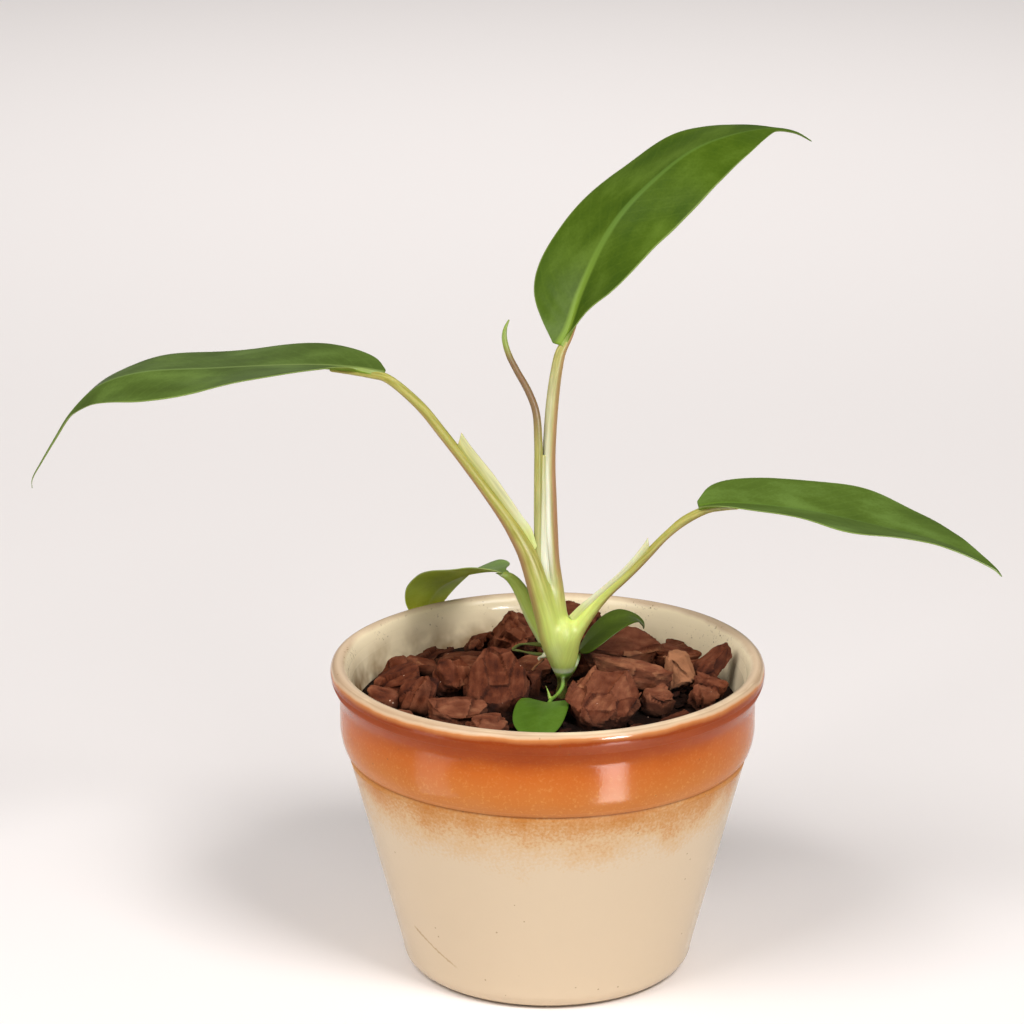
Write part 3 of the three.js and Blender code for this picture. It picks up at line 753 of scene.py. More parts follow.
@dataclass
class Pot:
    """The thrown pot: foot, tapered body, incised line, collar and rolled rim."""

    height: float = 95.6
    line_radius: float = 60.0
    line_height: float = 68.1
    line_depth: float = 0.24
    collar_radius: float = 62.2
    foot_radius: float = 43.9
    heel: float = 6.1
    steps: int = 144
    wobble: float = 0.12
    wall_inner: list[tuple[float, float]] = field(default_factory=lambda: [
        (62.0, 95.45), (61.2, 95.1), (60.6, 94.4), (60.1, 93.4), (59.6, 92.0), (59.1, 90.0), (58.6, 88.0),
        (57.9, 84.0), (57.1, 79.0), (55.4, 68.1), (51.0, 48.0), (45.8, 28.0), (41.5, 14.0), (40.2, 9.6),
        (39.0, 7.4), (36.8, 6.1), (30.0, 6.0), (0.0, 6.0)])

    def outer(self) -> list[tuple[float, float]]:
        """List the outer outline.

        Returns:
            Radius and height pairs, from the middle of the foot to the crest of the rim.
        """
        heel = [(self.foot_radius - self.heel + self.heel * math.sin(a), self.heel - self.heel * math.cos(a))
                for a in (math.radians(15 * k) for k in range(7))]
        wall = [(self.foot_radius + (self.line_radius - self.foot_radius) * t,
                 self.heel + (self.line_height - self.heel) * t) for t in (0.03, 0.2, 0.4, 0.6, 0.8, 0.97)]
        r, z = self.line_radius, self.line_height
        line = [(r - 0.12, z - 0.55), (r - self.line_depth, z - 0.25), (r - self.line_depth + 0.08, z + 0.2),
                (r + 0.42, z + 0.5), (r + 0.9, z + 1.5), (61.6, 71.6), (62.0, 73.6)]
        c = self.collar_radius
        rim = [(c, 75.6), (c, 79.0), (c, 83.6), (62.45, 85.2), (62.9, 86.3), (63.3, 87.2), (63.7, 88.2),
               (64.3, 89.4), (64.75, 90.7), (65.0, 92.2), (64.95, 93.3), (64.6, 94.4), (64.0, 95.1),
               (63.3, 95.5), (62.7, self.height)]
        return [(0.0, 0.0), (20.0, 0.0), *heel, *wall, *line, *rim]

    def build(self, glaze: bpy.types.Material) -> None:
        """Extrude the outline, spin it and round it.

        Args:
            glaze: The finish.
        """
        piece = turned("glazed_pot", self.outer() + self.wall_inner, self.steps, 0.005)
        self.throw(piece)
        smooth(piece, 40)
        settle(piece, Slot.POT, ["pot"], glaze)

    def throw(self, piece: bpy.types.Object) -> None:
        """Leave the slight unevenness of the wheel, and mark the inner wall and the rim's outer half.

        Args:
            piece: The spun pot.
        """
        inside, crest = [], []
        taper = (self.line_radius - self.foot_radius) / (self.line_height - self.heel)
        for vertex in piece.data.vertices:
            x, y, z = vertex.co / MM
            radius = math.hypot(x, y)
            crest.append(ease(radius, 62.8, 63.9))
            outer = self.foot_radius + taper * (z - self.heel)
            inside.append(1.0 if z > 5.9 and radius < min(outer - 2.0, 61.9) else 0.0)
            if z > 3 and radius > 20:
                angle = math.atan2(y, x)
                wobble = (self.wobble * math.sin(2 * angle + 0.7)
                          + 0.5 * self.wobble * math.sin(5 * angle + z / 19))
                vertex.co *= 1 + wobble / radius * ease(z, 3, 30)
        paint(piece, inside=inside, outer=crest)


@dataclass
class BarkMix:
    """Fine bark between the chips: a granular bed with crumbs on it."""

    top: float = 82.0
    radius: float = 57.4
    swell: float = 1.6
    rings: int = 26
    steps: int = 120
    crumbs: int = 420
    wall: list[tuple[float, float]] = field(default_factory=lambda: [
        (0.0, 6.4), (36.3, 6.4), (39.4, 10.3), (55.0, 68.1), (57.2, 81.4)])

    def build(self, bark: bpy.types.Material) -> None:
        """Spin the bed, roughen its top and strew crumbs over it.

        Args:
            bark: The finish.
        """
        top = [(self.radius * (1 - k / self.rings), self.top + self.swell * k / self.rings)
               for k in range(1, self.rings + 1)]
        piece = turned("bark_bed", self.wall + top, self.steps, 0.02)
        for vertex in piece.data.vertices:
            if vertex.co.z > (self.top - 0.4) * MM:
                x, y, _ = vertex.co / MM
                vertex.co.z += (1.7 * noise.noise(Vector((x / 2.2, y / 2.2, 3)))
                                + 0.8 * noise.noise(Vector((x, y, 9)))) * MM
        piece = join([piece, *self.strew()])
        points = points_of(piece)
        # Painted shade: the bed is given a dark tone, and turns near black low down, for the shade in the
        # holes between the chips.
        paint(piece, grain=points[:, [1, 0, 2]], crack=[0.92 * fall(p[2], 83, 86.5) for p in points],
              tone=[0.22 + 0.3 * noise.noise(Vector(p.tolist()) / 2.5) for p in points])
        smooth(piece, 35)
        settle(piece, Slot.MIX, ["bark_mix"], bark)

    def strew(self) -> list[bpy.types.Object]:
        """Model one crumb and copy it, turned and stretched, over the bed.

        Returns:
            The crumbs.
        """
        rng = random.Random(5)
        bpy.ops.mesh.primitive_ico_sphere_add(subdivisions=1, radius=MM)
        first = bpy.context.object
        for vertex in first.data.vertices:
            vertex.co *= 0.75 + 0.5 * rng.random()
        crumbs = []
        for _ in range(self.crumbs):
            angle = 2 * math.pi * rng.random()
            reach = (self.radius - 1.5) * math.sqrt(rng.random())
            size = (0.8 + 1.6 * rng.random() ** 2, 0.6 + 0.8 * rng.random(), 0.4 + 0.5 * rng.random())
            turn = Matrix.Rotation(2 * math.pi * rng.random(), 4, "Z")
            turn @= Matrix.Rotation(rng.uniform(-0.7, 0.7), 4, "X")
            lift = self.top + self.swell * (1 - reach / self.radius) + rng.uniform(0.2, 1.6)
            mesh = first.data.copy()
            place = Vector((reach * math.cos(angle), reach * math.sin(angle), lift)) * MM
            mesh.transform(Matrix.Translation(place) @ turn @ Matrix.Diagonal((*size, 1)))
            crumb = bpy.data.objects.new("crumb", mesh)
            bpy.context.scene.collection.objects.link(crumb)
            crumbs.append(crumb)
        bpy.data.objects.remove(first)
        return crumbs


@dataclass
class BarkChips:
    """The large chips of pine bark that lie on the bed, each broken from its own solid."""

    count: int = 42
    reliefs: Sequence[tuple[str, float]] = (("bark_lumps", 2.4), ("bark_grain", 0.8))
    relief: float = 0.2
    slivers: int = 7
    voxel: float = 0.44
    facet: float = 6.0
    whole: frozenset[int] = frozenset({3})
    own_tones: dict[int, float] = field(default_factory=lambda: {1: 0.38, 2: 0.5, 14: 0.98, 15: 0.6})

    def build(self, bark: bpy.types.Material) -> None:
        """Shape every chip.

        Args:
            bark: The finish.
        """
        reliefs = []
        for name, size in self.reliefs:
            reliefs.append(bpy.data.textures.new(name, "CLOUDS"))
            reliefs[-1].noise_scale = size * MM
        for number in range(1, self.count + 1):
            self.shape(number, reliefs, bark)

    def shape(self, number: int, reliefs: Sequence[bpy.types.Texture], bark: bpy.types.Material) -> None:
        """Break, divide and roughen one chip.

        Args:
            number: The chip's number.
            reliefs: Lumps, and a finer grain.
            bark: The finish.
        """
        node = f"bark_chip_{number:02d}"
        source = bpy.data.objects[node]
        piece = bpy.data.objects.new(f"bark_piece_{number:02d}", source.data.copy())
        bpy.context.scene.collection.objects.link(piece)
        piece.data.name = piece.name
        merge(piece, 0.05)
        edit(piece, lambda: bpy.ops.mesh.dissolve_limited(angle_limit=math.radians(4)))
        rng = random.Random(number)
        if number not in self.whole:
            self.chip_off(piece, rng)
        finish_with(piece, "BEVEL", width=0.25 * MM, segments=1, limit_method="ANGLE",
                    angle_limit=math.radians(25))
        finish_with(piece, "TRIANGULATE")
        finish_with(piece, "REMESH", mode="VOXEL", voxel_size=self.voxel * MM)
        points = points_of(piece)
        middle = points.mean(axis=0)
        _, axes = np.linalg.eigh(np.cov((points - middle).T))
        local = (points - middle) @ axes[:, ::-1]
        shade = self.split(piece, local, rng, 0.3 if number in self.whole else 1.0)
        for relief in reliefs:
            finish_with(piece, "DISPLACE", texture=relief, strength=self.relief * MM, mid_level=0.5,
                        texture_coords="GLOBAL")
        tone = self.own_tones.get(number) or rng.uniform(0.38, 0.54)
        # Each chip reads its own part of the bark's pattern, and is darkened low down as painted shade
        # between the chips.
        paint(piece, grain=local + number * 13.7, tone=tone + shade,
              crack=[0.85 * fall(z, 83.5, 89.5) for z in points[:, 2]])
        smooth(piece, 26)
        settle(piece, Slot.CHIP, [node], bark)

    def chip_off(self, piece: bpy.types.Object, rng: random.Random) -> None:
        """Cut slivers off a chip's corners, as it broke.

        Args:
            piece: The chip's solid.
            rng: The chip's own random numbers.
        """
        points = points_of(piece)
        middle = points.mean(axis=0)
        for _ in range(self.slivers):
            normal = Vector((rng.gauss(0, 1), rng.gauss(0, 1), rng.gauss(0, 0.8))).normalized()
            reach = float(((points - middle) @ np.array(normal)).max())
            place = (Vector(middle.tolist()) + normal * reach * rng.uniform(0.9, 0.97)) * MM
            edit(piece, lambda: bpy.ops.mesh.bisect(
                plane_co=place, plane_no=normal, use_fill=True, clear_outer=True, threshold=1e-6))

    def split(self, piece: bpy.types.Object, local: np.ndarray, rng: random.Random,
              depth: float) -> np.ndarray:
        """Break a chip's sides into flat facets that tilt their own way, and furrow them along the fibres.

        Args:
            piece: The chip.
            local: Its points about its middle, along the fibres, across them and through the plies.
            rng: The chip's own random numbers.
            depth: How deep the breaks go, 1 for most chips.

        Returns:
            How much lighter or darker each point is than its chip: its facet's own tone, painted shade in
            hollows, and painted light on ridges and raised edges.
        """
        stretch = np.array((0.6, 1.0, 1.3))
        low, high = local.min(axis=0), local.max(axis=0)
        count = max(int(np.prod((high - low) * stretch) / self.facet ** 3 * 1.3), 7)
        cells = np.array([[rng.uniform(a, b) for a, b in zip(low, high)] for _ in range(count)])
        lifts = np.array([rng.uniform(-0.75, 0.35) for _ in range(count)])
        tilts = np.array([[rng.gauss(0, 0.17) for _ in range(3)] for _ in range(count)])
        tones = np.array([rng.uniform(-0.08, 0.08) for _ in range(count)])
        distances = np.linalg.norm((local[:, None, :] - cells[None, :, :]) * stretch, axis=2)
        nearest, second = distances.argsort(axis=1)[:, :2].T
        rows = np.arange(len(local))
        # Where a facet stands above its neighbour its edge is painted light, as a highlight, and its foot is
        # painted dark, as shade.
        border = np.exp(-((distances[rows, second] - distances[rows, nearest]) / 0.7) ** 2)
        edge_light_and_shade = 0.22 * border * np.clip(lifts[nearest] - lifts[second], -0.8, 0.6)
        away = local - cells[nearest]
        lift = depth * np.clip(lifts[nearest] + (away * tilts[nearest]).sum(axis=1), -1.1, 0.6)
        normals = np.empty(len(piece.data.vertices) * 3, dtype=np.float32)
        piece.data.vertices.foreach_get("normal", normals)
        normals = normals.reshape(-1, 3)
        depths = np.empty(len(local))
        for i, (vertex, place, normal) in enumerate(zip(piece.data.vertices, local, normals)):
            x, y, z = (float(c) for c in place)
            furrow = noise.noise(Vector((x / 7, y / 1.5, z / 1.2)))
            crinkle = noise.noise(Vector((x / 2.6, y / 1.9, z / 1.9 + 40)))
            depths[i] = 0.34 * furrow + 0.3 * crinkle
            vertex.co += Vector(normal.tolist()) * (float(lift[i]) + float(depths[i])) * MM
        return tones[nearest] + 0.4 * depths + edge_light_and_shade


@dataclass(frozen=True)
class Stalk:
    """One stalk: its course, its radii by point, its colours along it, and the blade it runs on under."""

    node: str
    path: Sequence[Point]
    radii: Sequence[float]
    blush: Sequence[float] = (0.0, 0.0)
    blush_side: Point = (0.0, 0.0, 1.0)
    pale: Sequence[float] = (0.0, 0.0)
    pale_side: Point = (0.0, 0.0, 1.0)
    green: Sequence[float] = (0.0, 0.0)
    blade: str = ""


@dataclass
class PlantBody:
    """Crown, rootstock, roots and leaf stalks, grown together as one body."""

    voxel: float = 0.3
    # Shares of its blade's midrib that a stalk runs on to.
    run_on: Sequence[float] = (0.03, 0.075, 0.13)
    # Height, middle and half widths of the crown, from the rootstock's end up.
    crown: Sequence[tuple[float, ...]] = (
        (52, 3.4, .2, 1.4, 1.4), (66, 3.5, 0, 1.9, 1.9), (82, 3.9, 0, 2, 2), (88.5, 4.4, 0, 1.5, 1.5),
        (90.8, 4.6, 0, 2.4, 2.3), (92.7, 4.6, 0, 3.4, 3.1), (94.6, 4.5, 0, 4.2, 3.8),
        (98.5, 4.2, 0, 5.2, 4.6), (103, 3.9, -.5, 5.5, 4.7), (107, 4, -.6, 4.4, 3.8),
        (109, 4.4, -.6, 2.6, 2.2))
    # Course and radii of each root.
    roots: Sequence[tuple[Sequence[Point], Sequence[float]]] = (
        (((3.4, 0, 72), (12, 4, 64), (22, 9, 55), (30, 12, 44)), (1.6, 1.4, 1.1, .8)),
        (((3.4, 0, 70), (-6, 6, 62), (-14, 14, 53), (-18, 18, 42)), (1.6, 1.4, 1.1, .8)),
        (((3.4, 0, 68), (2, -10, 60), (-4, -20, 50), (-8, -26, 39)), (1.6, 1.4, 1.1, .8)),
        (((3.4, .2, 56), (6, 1, 44), (4, -2, 32), (8, -3, 22)), (1.5, 1.2, 1, .8)))
    stalks: Sequence[Stalk] = (
        # The tall stalk's pale band down its front left is a painted highlight of the glare on it.
        Stalk("tall_leaf_petiole",
              ((3.2, .4, 100), (2.9, .2, 108), (2.3, .2, 117), (1.3, .4, 126), (.65, .5, 136), (.4, .5, 146),
               (.2, .3, 155), (.3, .3, 162), (1.1, .1, 175), (2.3, .2, 185), (3.6, .5, 191)),
              (3.4, 3.2, 2.7, 2.25, 2.3, 2.15, 2, 1.95, 1.9, 1.75, 1.6, 1.1, .8, .4), blade="tall_leaf_skin",
              blush=(0, 0, .5, .9, 1, 1, .9, .8, .7, .7, .9, .9), blush_side=(1, -.25, 0),
              pale=(0, 0, .25, .7, .9, .8, .6, .35, .25, .1, 0, 0), pale_side=(-.55, -1, .1)),
        Stalk("right_leaf_petiole",
              ((5.2, -.8, 96), (6.2, -.8, 99.5), (8.1, -.7, 104.1), (11.1, -.4, 108.8), (14.4, -.3, 113),
               (18, -.1, 117), (22.7, 0, 121.4), (28.6, 0, 127.6), (35.2, 0, 134.8), (41, 0, 139.7)),
              (2.8, 3, 2.7, 2.4, 2, 1.75, 1.55, 1.35, 1.2, 1.4, 1.2, .95, .5), blade="right_leaf_skin",
              blush=(0, .2, .5, .7, .7, .6, .5, .3, .1), blush_side=(.7, -.2, -.7)),
        Stalk("left_leaf_petiole",
              ((3.4, -.6, 92.5), (2.4, -1.3, 97), (1.1, -1.7, 102), (-.3, -1.9, 109), (-2.6, -2.4, 118),
               (-6, -2.2, 129), (-9.3, -2, 135.5), (-12.3, -1.8, 140.3), (-18.4, -1.3, 149),
               (-24.8, -.9, 157.8), (-31, -.5, 166), (-38, -.2, 174.8), (-47.8, 0, 183.1)),
              (1.6, 2.8, 3.5, 3.6, 3.4, 2.9, 2.5, 2.1, 1.75, 1.6, 1.55, 1.5, 1.35, 1.2, .95, .5),
              blade="left_leaf_skin",
              blush=(0, .5, .8, .9, .9, .8, .6, .3, .1, 0), blush_side=(-.8, -.2, -.6)),
        Stalk("small_left_leaf_petiole",
              ((2.2, 2.6, 95), (-.2, 4, 100.2), (-4.2, 5.2, 107.5), (-7.3, 5.6, 113.8), (-10.3, 5.8, 118.4),
               (-12.6, 6.2, 120)),
              (2.2, 2.9, 2.9, 2.5, 1.9, 1.4, 1, .75, .4), blade="small_left_leaf_skin",
              green=(.3, .35, .5, .8), pale=(.3, .4, .25, 0), pale_side=(-.9, -.4, .2)),
        Stalk("small_right_leaf_petiole",
              ((5, 1.2, 88.6), (6.8, 3.2, 90.4), (8.4, 5, 92.6), (9.8, 6.5, 95.4)), (1.1, 1, .9, .95),
              green=(.8, .8)),
        Stalk("front_leaf_petiole",
              ((4.6, -2, 90.5), (4.4, -4, 88.3), (3, -6.5, 86.8), (1.2, -10, 86.5), (.4, -12.8, 86.4),
               (-.6, -17, 86.5)), (.75, .65, .6, .58, .6, .5), green=(1, 1)),
        Stalk("front_leaf_petiole",
              ((.7, -10, 86.4), (.2, -9.4, 88.4), (-.6, -8.6, 90.4)), (.6, .4, .15), green=(.3, .3)))

    def ring(self, line: CentreLine, radii: Sequence[float], a: float, b: float) -> Vector:
        """Give a point on a round stalk."""
        return line.at(b) + line.spoke(b, a) * evenly(radii, line.parameter(b))

    def oval(self, a: float, b: float) -> Vector:
        """Give a point on the crown."""
        heights = [row[0] for row in self.crown]
        z = heights[0] + (heights[-1] - heights[0]) * b
        x, y, rx, ry = (along(heights, [row[k] for row in self.crown], z) for k in range(1, 5))
        return Vector((x + rx * math.cos(a), y + ry * math.sin(a), z))

    def build(self, skin: bpy.types.Material, blades: Sequence["LeafBlade"]) -> None:
        """Roll the parts, fuse them, soften the joins and paint them.

        Args:
            skin: The finish.
            blades: The blades, under which their stalks run on.
        """
        ends = {blade.name: blade.under_rib(self.run_on) for blade in blades}
        lines = [CentreLine([*stalk.path, *ends.get(stalk.blade, [])]) for stalk in self.stalks]
        parts = [tube("plant_body", 40, 90, self.oval)]
        for stalk, line in zip(self.stalks, lines):
            steps = max(int(line.length / 0.9), 8)
            parts.append(tube("stalk", 32, steps, partial(self.ring, line, stalk.radii)))
        for path, radii in self.roots:
            line = CentreLine(path)
            parts.append(tube("root", 12, 40, partial(self.ring, line, radii)))
        piece = join(parts)
        finish_with(piece, "REMESH", mode="VOXEL", voxel_size=self.voxel * MM)
        finish_with(piece, "SMOOTH", factor=0.5, iterations=5)
        group = piece.vertex_groups.new(name="crown")
        for vertex in piece.data.vertices:
            z = vertex.co.z / MM
            group.add([vertex.index], ease(z, 91, 96) * fall(z, 114, 126), "REPLACE")
        finish_with(piece, "SMOOTH", factor=0.5, iterations=130, vertex_group="crown")
        self.tint(piece, lines)
        smooth(piece)
        settle(piece, Slot.STALK, ["stem", *dict.fromkeys(stalk.node for stalk in self.stalks)], skin)

    def tint(self, piece: bpy.types.Object, lines: Sequence[CentreLine]) -> None:
        """Work out each point's stripe, blush, pale band and greenness from the nearest stalk.

        Args:
            piece: The fused body.
            lines: The stalks' centre lines.
        """
        stations = []
        for stalk, line in zip(self.stalks, lines):
            count = int(line.length / 0.8)
            for k in range(count + 1):
                share = k / count
                radius = evenly(stalk.radii, line.parameter(share))
                stations.append((stalk, line, share, line.at(share), radius))
        tree = kdtree.KDTree(len(stations))
        for i, station in enumerate(stations):
            tree.insert(station[3], i)
        tree.balance()
        stripe, blush, pale, green, lime, earth = [], [], [], [], [], []
        for point in points_of(piece):
            place = Vector(point.tolist())
            _, i = min((distance - stations[i][4], i) for _, i, distance in tree.find_n(place, 6))
            stalk, line, share, centre, radius = stations[i]
            tangent = line.tangent(share)
            outward = place - centre
            flat = outward - tangent * outward.dot(tangent)
            direction = flat.normalized() if flat.length > 1e-6 else Vector((0, 0, 1))
            low = fall(place.z, 90, 97)
            stripe.append((flat.x, flat.y, share * line.length * 0.06 + flat.z))
            to_blush, to_pale = (direction.dot(Vector(side).normalized())
                                 for side in (stalk.blush_side, stalk.pale_side))
            reddish = evenly(stalk.blush, share) * ease(to_blush, .35, .85)
            # On the tall stalk this pale band is a painted highlight.
            band = evenly(stalk.pale, share) * ease(to_pale, .7, .95)
            blush.append(max(reddish, 0) * (1 - low))
            # Painted highlights: a whitish ring where the crown enters the bark, and a faint pale patch on
            # the crown's front.
            foot = 0.45 * ease(place.z, 91.6, 92.4) * fall(place.z, 92.8, 94.2)
            gleam = 0.12 * math.exp(-((place.z - 99.5) / 4) ** 2 - ((place.x - 2.4) / 2) ** 2)
            pale.append(max(band, 0) * (1 - low) + foot + gleam * (place.y < 0))
            # Painted shade: below the crown's foot, except at the front, the skin turns near black where it
            # sits in the hole in the bark.
            earth.append(0.9 * fall(place.z, 90, 91.9) * ease(place.y, -4.2, -2.6))
            green.append(max(evenly(stalk.green, share), low * 0.7))
            lime.append(fall(place.z, 107, 130))
        paint(piece, blush=blush, pale=pale, green=green, lime=lime, earth=earth, stripe=stripe)


@dataclass
class Sheaths:
    """The thin wings that clasp the long stalks: two end in a free point, and one holds the rolled leaf."""

    thickness: float = 0.5
    # Each wing's line on its stalk and its free edge.
    wings: Sequence[tuple[Sequence[Point], Sequence[Point]]] = (
        (((-5.6, -2.3, 128.4), (-8.2, -2.1, 134), (-11.2, -1.9, 138.6), (-14.5, -1.6, 143.5),
          (-18.4, -1.3, 149), (-21.4, -1.1, 153.3), (-24.8, -.9, 157.8), (-27.2, -.7, 161.2)),
         ((-3.2, -2.4, 131.9), (-4.9, -2.4, 137.5), (-7.8, -2.3, 141.6), (-11.6, -2, 147.4),
          (-15.8, -1.7, 153.6), (-20, -1.4, 159), (-23.4, -1.1, 163.4), (-25.6, -.9, 166.8))),
        (((9, -.7, 105.8), (11.1, -.6, 108.8), (14.4, -.5, 113), (18, -.4, 117), (21.5, -.3, 120.3),
          (26, -.2, 124.9), (28.6, -.1, 127.6), (30.2, 0, 129.4)),
         ((6.2, -1.2, 109.7), (8.8, -1, 112.4), (12.3, -.9, 115.5), (16.6, -.8, 119.2), (20.9, -.7, 123.1),
          (25.2, -.5, 127.9), (28, -.3, 131.6), (29.7, -.2, 134.2))),
        (((1.4, -2, 116), (.4, -1.9, 124), (-.2, -1.6, 132), (-.6, -1.3, 140), (-.8, -1.2, 150),
          (-.9, -1.1, 160)),
         ((-1.2, -2.2, 116), (-1.9, -2.1, 124), (-2.3, -1.9, 132), (-2.4, -1.7, 140), (-2.3, -1.5, 150),
          (-2, -1.3, 160))))
    # How pale each wing is at its foot and at its tip, and how far across that begins; the third wing's near
    # white is a painted highlight of the glare beside the rolled leaf.
    pales: Sequence[tuple[float, float, float]] = ((.42, .22, .3), (.5, .4, .3), (1, .15, -.5))

    def build(self, skin: bpy.types.Material) -> None:
        """Stretch a strip from each stalk's middle to the wing's free edge, and thicken it.

        Args:
            skin: The finish.
        """
        strips = []
        for (inner, outer), (low, high, start) in zip(self.wings, self.pales):
            root, edge = CentreLine(inner), CentreLine(outer)
            notes: list[tuple[float, float]] = []

            def wing(a: float, b: float, root: CentreLine = root, edge: CentreLine = edge,
                     notes: list[tuple[float, float]] = notes) -> Vector:
                """Give a point of the wing and note its shares across and along."""
                notes.append((a, b))
                return root.at(b).lerp(edge.at(b), a) - Vector((0, 0.35 * math.sin(math.pi * a), 0))

            strip = sheet("petiole_sheaths", 14, 60, wing)
            paint(strip, stripe=[(4.5 * a, 3.0, 0.06 * root.length * b) for a, b in notes],
                  pale=[(0.25 + 0.75 * ease(a, start, start + 0.5)) * (low + (high - low) * b)
                        * (0.3 + 0.7 * ease(b, 0.08, 0.26)) for a, b in notes],
                  blush=[0.25 * ease(a, 0.94, 1) for a, _ in notes],
                  lime=[0.2 + 0.7 * fall(b, 0, 0.35) for _, b in notes])
            finish_with(strip, "SOLIDIFY", thickness=self.thickness * MM, offset=0)
            strips.append(strip)
        piece = join(strips)
        finish_with(piece, "SUBSURF", levels=1, render_levels=1)
        smooth(piece, 60)
        settle(piece, Slot.STALK, [], skin)


@dataclass
class Spear:
    """The new leaf, still rolled: a sheet wound a little over once round its middle."""

    path: Sequence[Point] = (
        (.4, -1, 107), (-2.2, -1.3, 121), (-2.9, -1.4, 130), (-3, -1.4, 140), (-2.9, -1.3, 152),
        (-2.9, -1.2, 164), (-3.7, -1.1, 173.4), (-6, -.8, 179.6), (-9.3, -.5, 185.6), (-11.7, -.4, 190.6),
        (-12.9, -.3, 195.4), (-12.6, -.1, 198.4), (-11.6, 0, 200.8))
    radii: Sequence[float] = (1.3, 1.2, 1.1, 1.15, 1.2, 1.2, 1.05, 1, .92, .85, .72, .45, .12)
    turns: float = 1.22
    seam: float = -2.2
    twist: float = 1.6
    thickness: float = 0.25

    def build(self, skin: bpy.types.Material) -> None:
        """Wind the sheet, thicken it and paint it.

        Args:
            skin: The finish.
        """
        line = CentreLine(self.path)

        def wound(a: float, b: float) -> Vector:
            """Give a point of the wound sheet."""
            angle = 2 * math.pi * self.turns * a + self.seam + self.twist * b
            radius = evenly(self.radii, line.parameter(b)) * (0.72 + 0.28 * a)
            return line.at(b) + line.spoke(b, angle) * radius

        piece = sheet("rolled_leaf", 44, 150, wound)
        finish_with(piece, "SOLIDIFY", thickness=self.thickness * MM, offset=0, use_even_offset=False)
        points = points_of(piece)
        heights = points[:, 2]
        paint(piece, stripe=points * np.array((1, 1, 0.06)),
              blush=[ease(z, 158, 176) * (1 - ease(z, 188, 194)) for z in heights],
              pale=[0.15 * (1 - ease(z, 118, 172)) for z in heights],
              green=[ease(z, 186, 196) * 0.9 + 0.1 for z in heights],
              lime=[0.5 * fall(z, 115, 150) for z in heights])
        smooth(piece, 60)
        settle(piece, Slot.SPEAR, ["new_leaf_spear"], skin)


@dataclass
class DriedSheath:
    """The dried sheath remnant at the crown's left: two threads that meet, a stub and a root tip."""

    # Course, radii, greenness, paleness and blush of each.
    threads: Sequence[tuple[Sequence[Point], Sequence[float], float, float, float]] = (
        (((-.5, 1.8, 99), (-3.2, 2.5, 99.4), (-8.3, 3, 99.1), (-10.7, 3.3, 97.6)), (.55, .5, .42, .3),
         .95, 0, .15),
        (((-.9, 1.8, 96.4), (-3.2, 2.5, 96.3), (-7, 3, 96.8), (-10.7, 3.3, 97.5)), (.5, .42, .36, .28),
         .9, 0, .15),
        (((.2, 1.4, 97), (-1.2, 1.2, 96.2), (-2.9, 1.2, 95.1)), (.8, .7, .4), 0, .45, .15),
        (((-1.2, .8, 95.4), (-2.5, .8, 94.3), (-4.7, .6, 91.9)), (.42, .36, .26), 0, 0, 1))

    def build(self, skin: bpy.types.Material) -> None:
        """Roll the threads, dent them and join them.

        Args:
            skin: The finish.
        """
        parts = []
        for path, radii, green, pale, blush in self.threads:
            line = CentreLine(path)

            def wrung(a: float, b: float, line: CentreLine = line, radii: Sequence[float] = radii) -> Vector:
                """Give a point of a dried, twisted thread."""
                dent = 1 + 0.28 * math.sin(2 * a + 9 * b)
                return line.at(b) + line.spoke(b, a, lean=0) * evenly(radii, b) * dent

            part = tube("dried_curl", 16, 40, wrung)
            points = points_of(part)
            paint(part, stripe=points, **{name: np.full(len(points), float(value)) for name, value in (
                ("green", green), ("pale", pale), ("blush", blush))})
            parts.append(part)
        piece = join(parts)
        smooth(piece, 60)
        settle(piece, Slot.DRIED, ["dried_sheath"], skin)


LEAF_STATIONS = (0, 0.06, 0.18, 0.34, 0.52, 0.7, 0.86, 1)


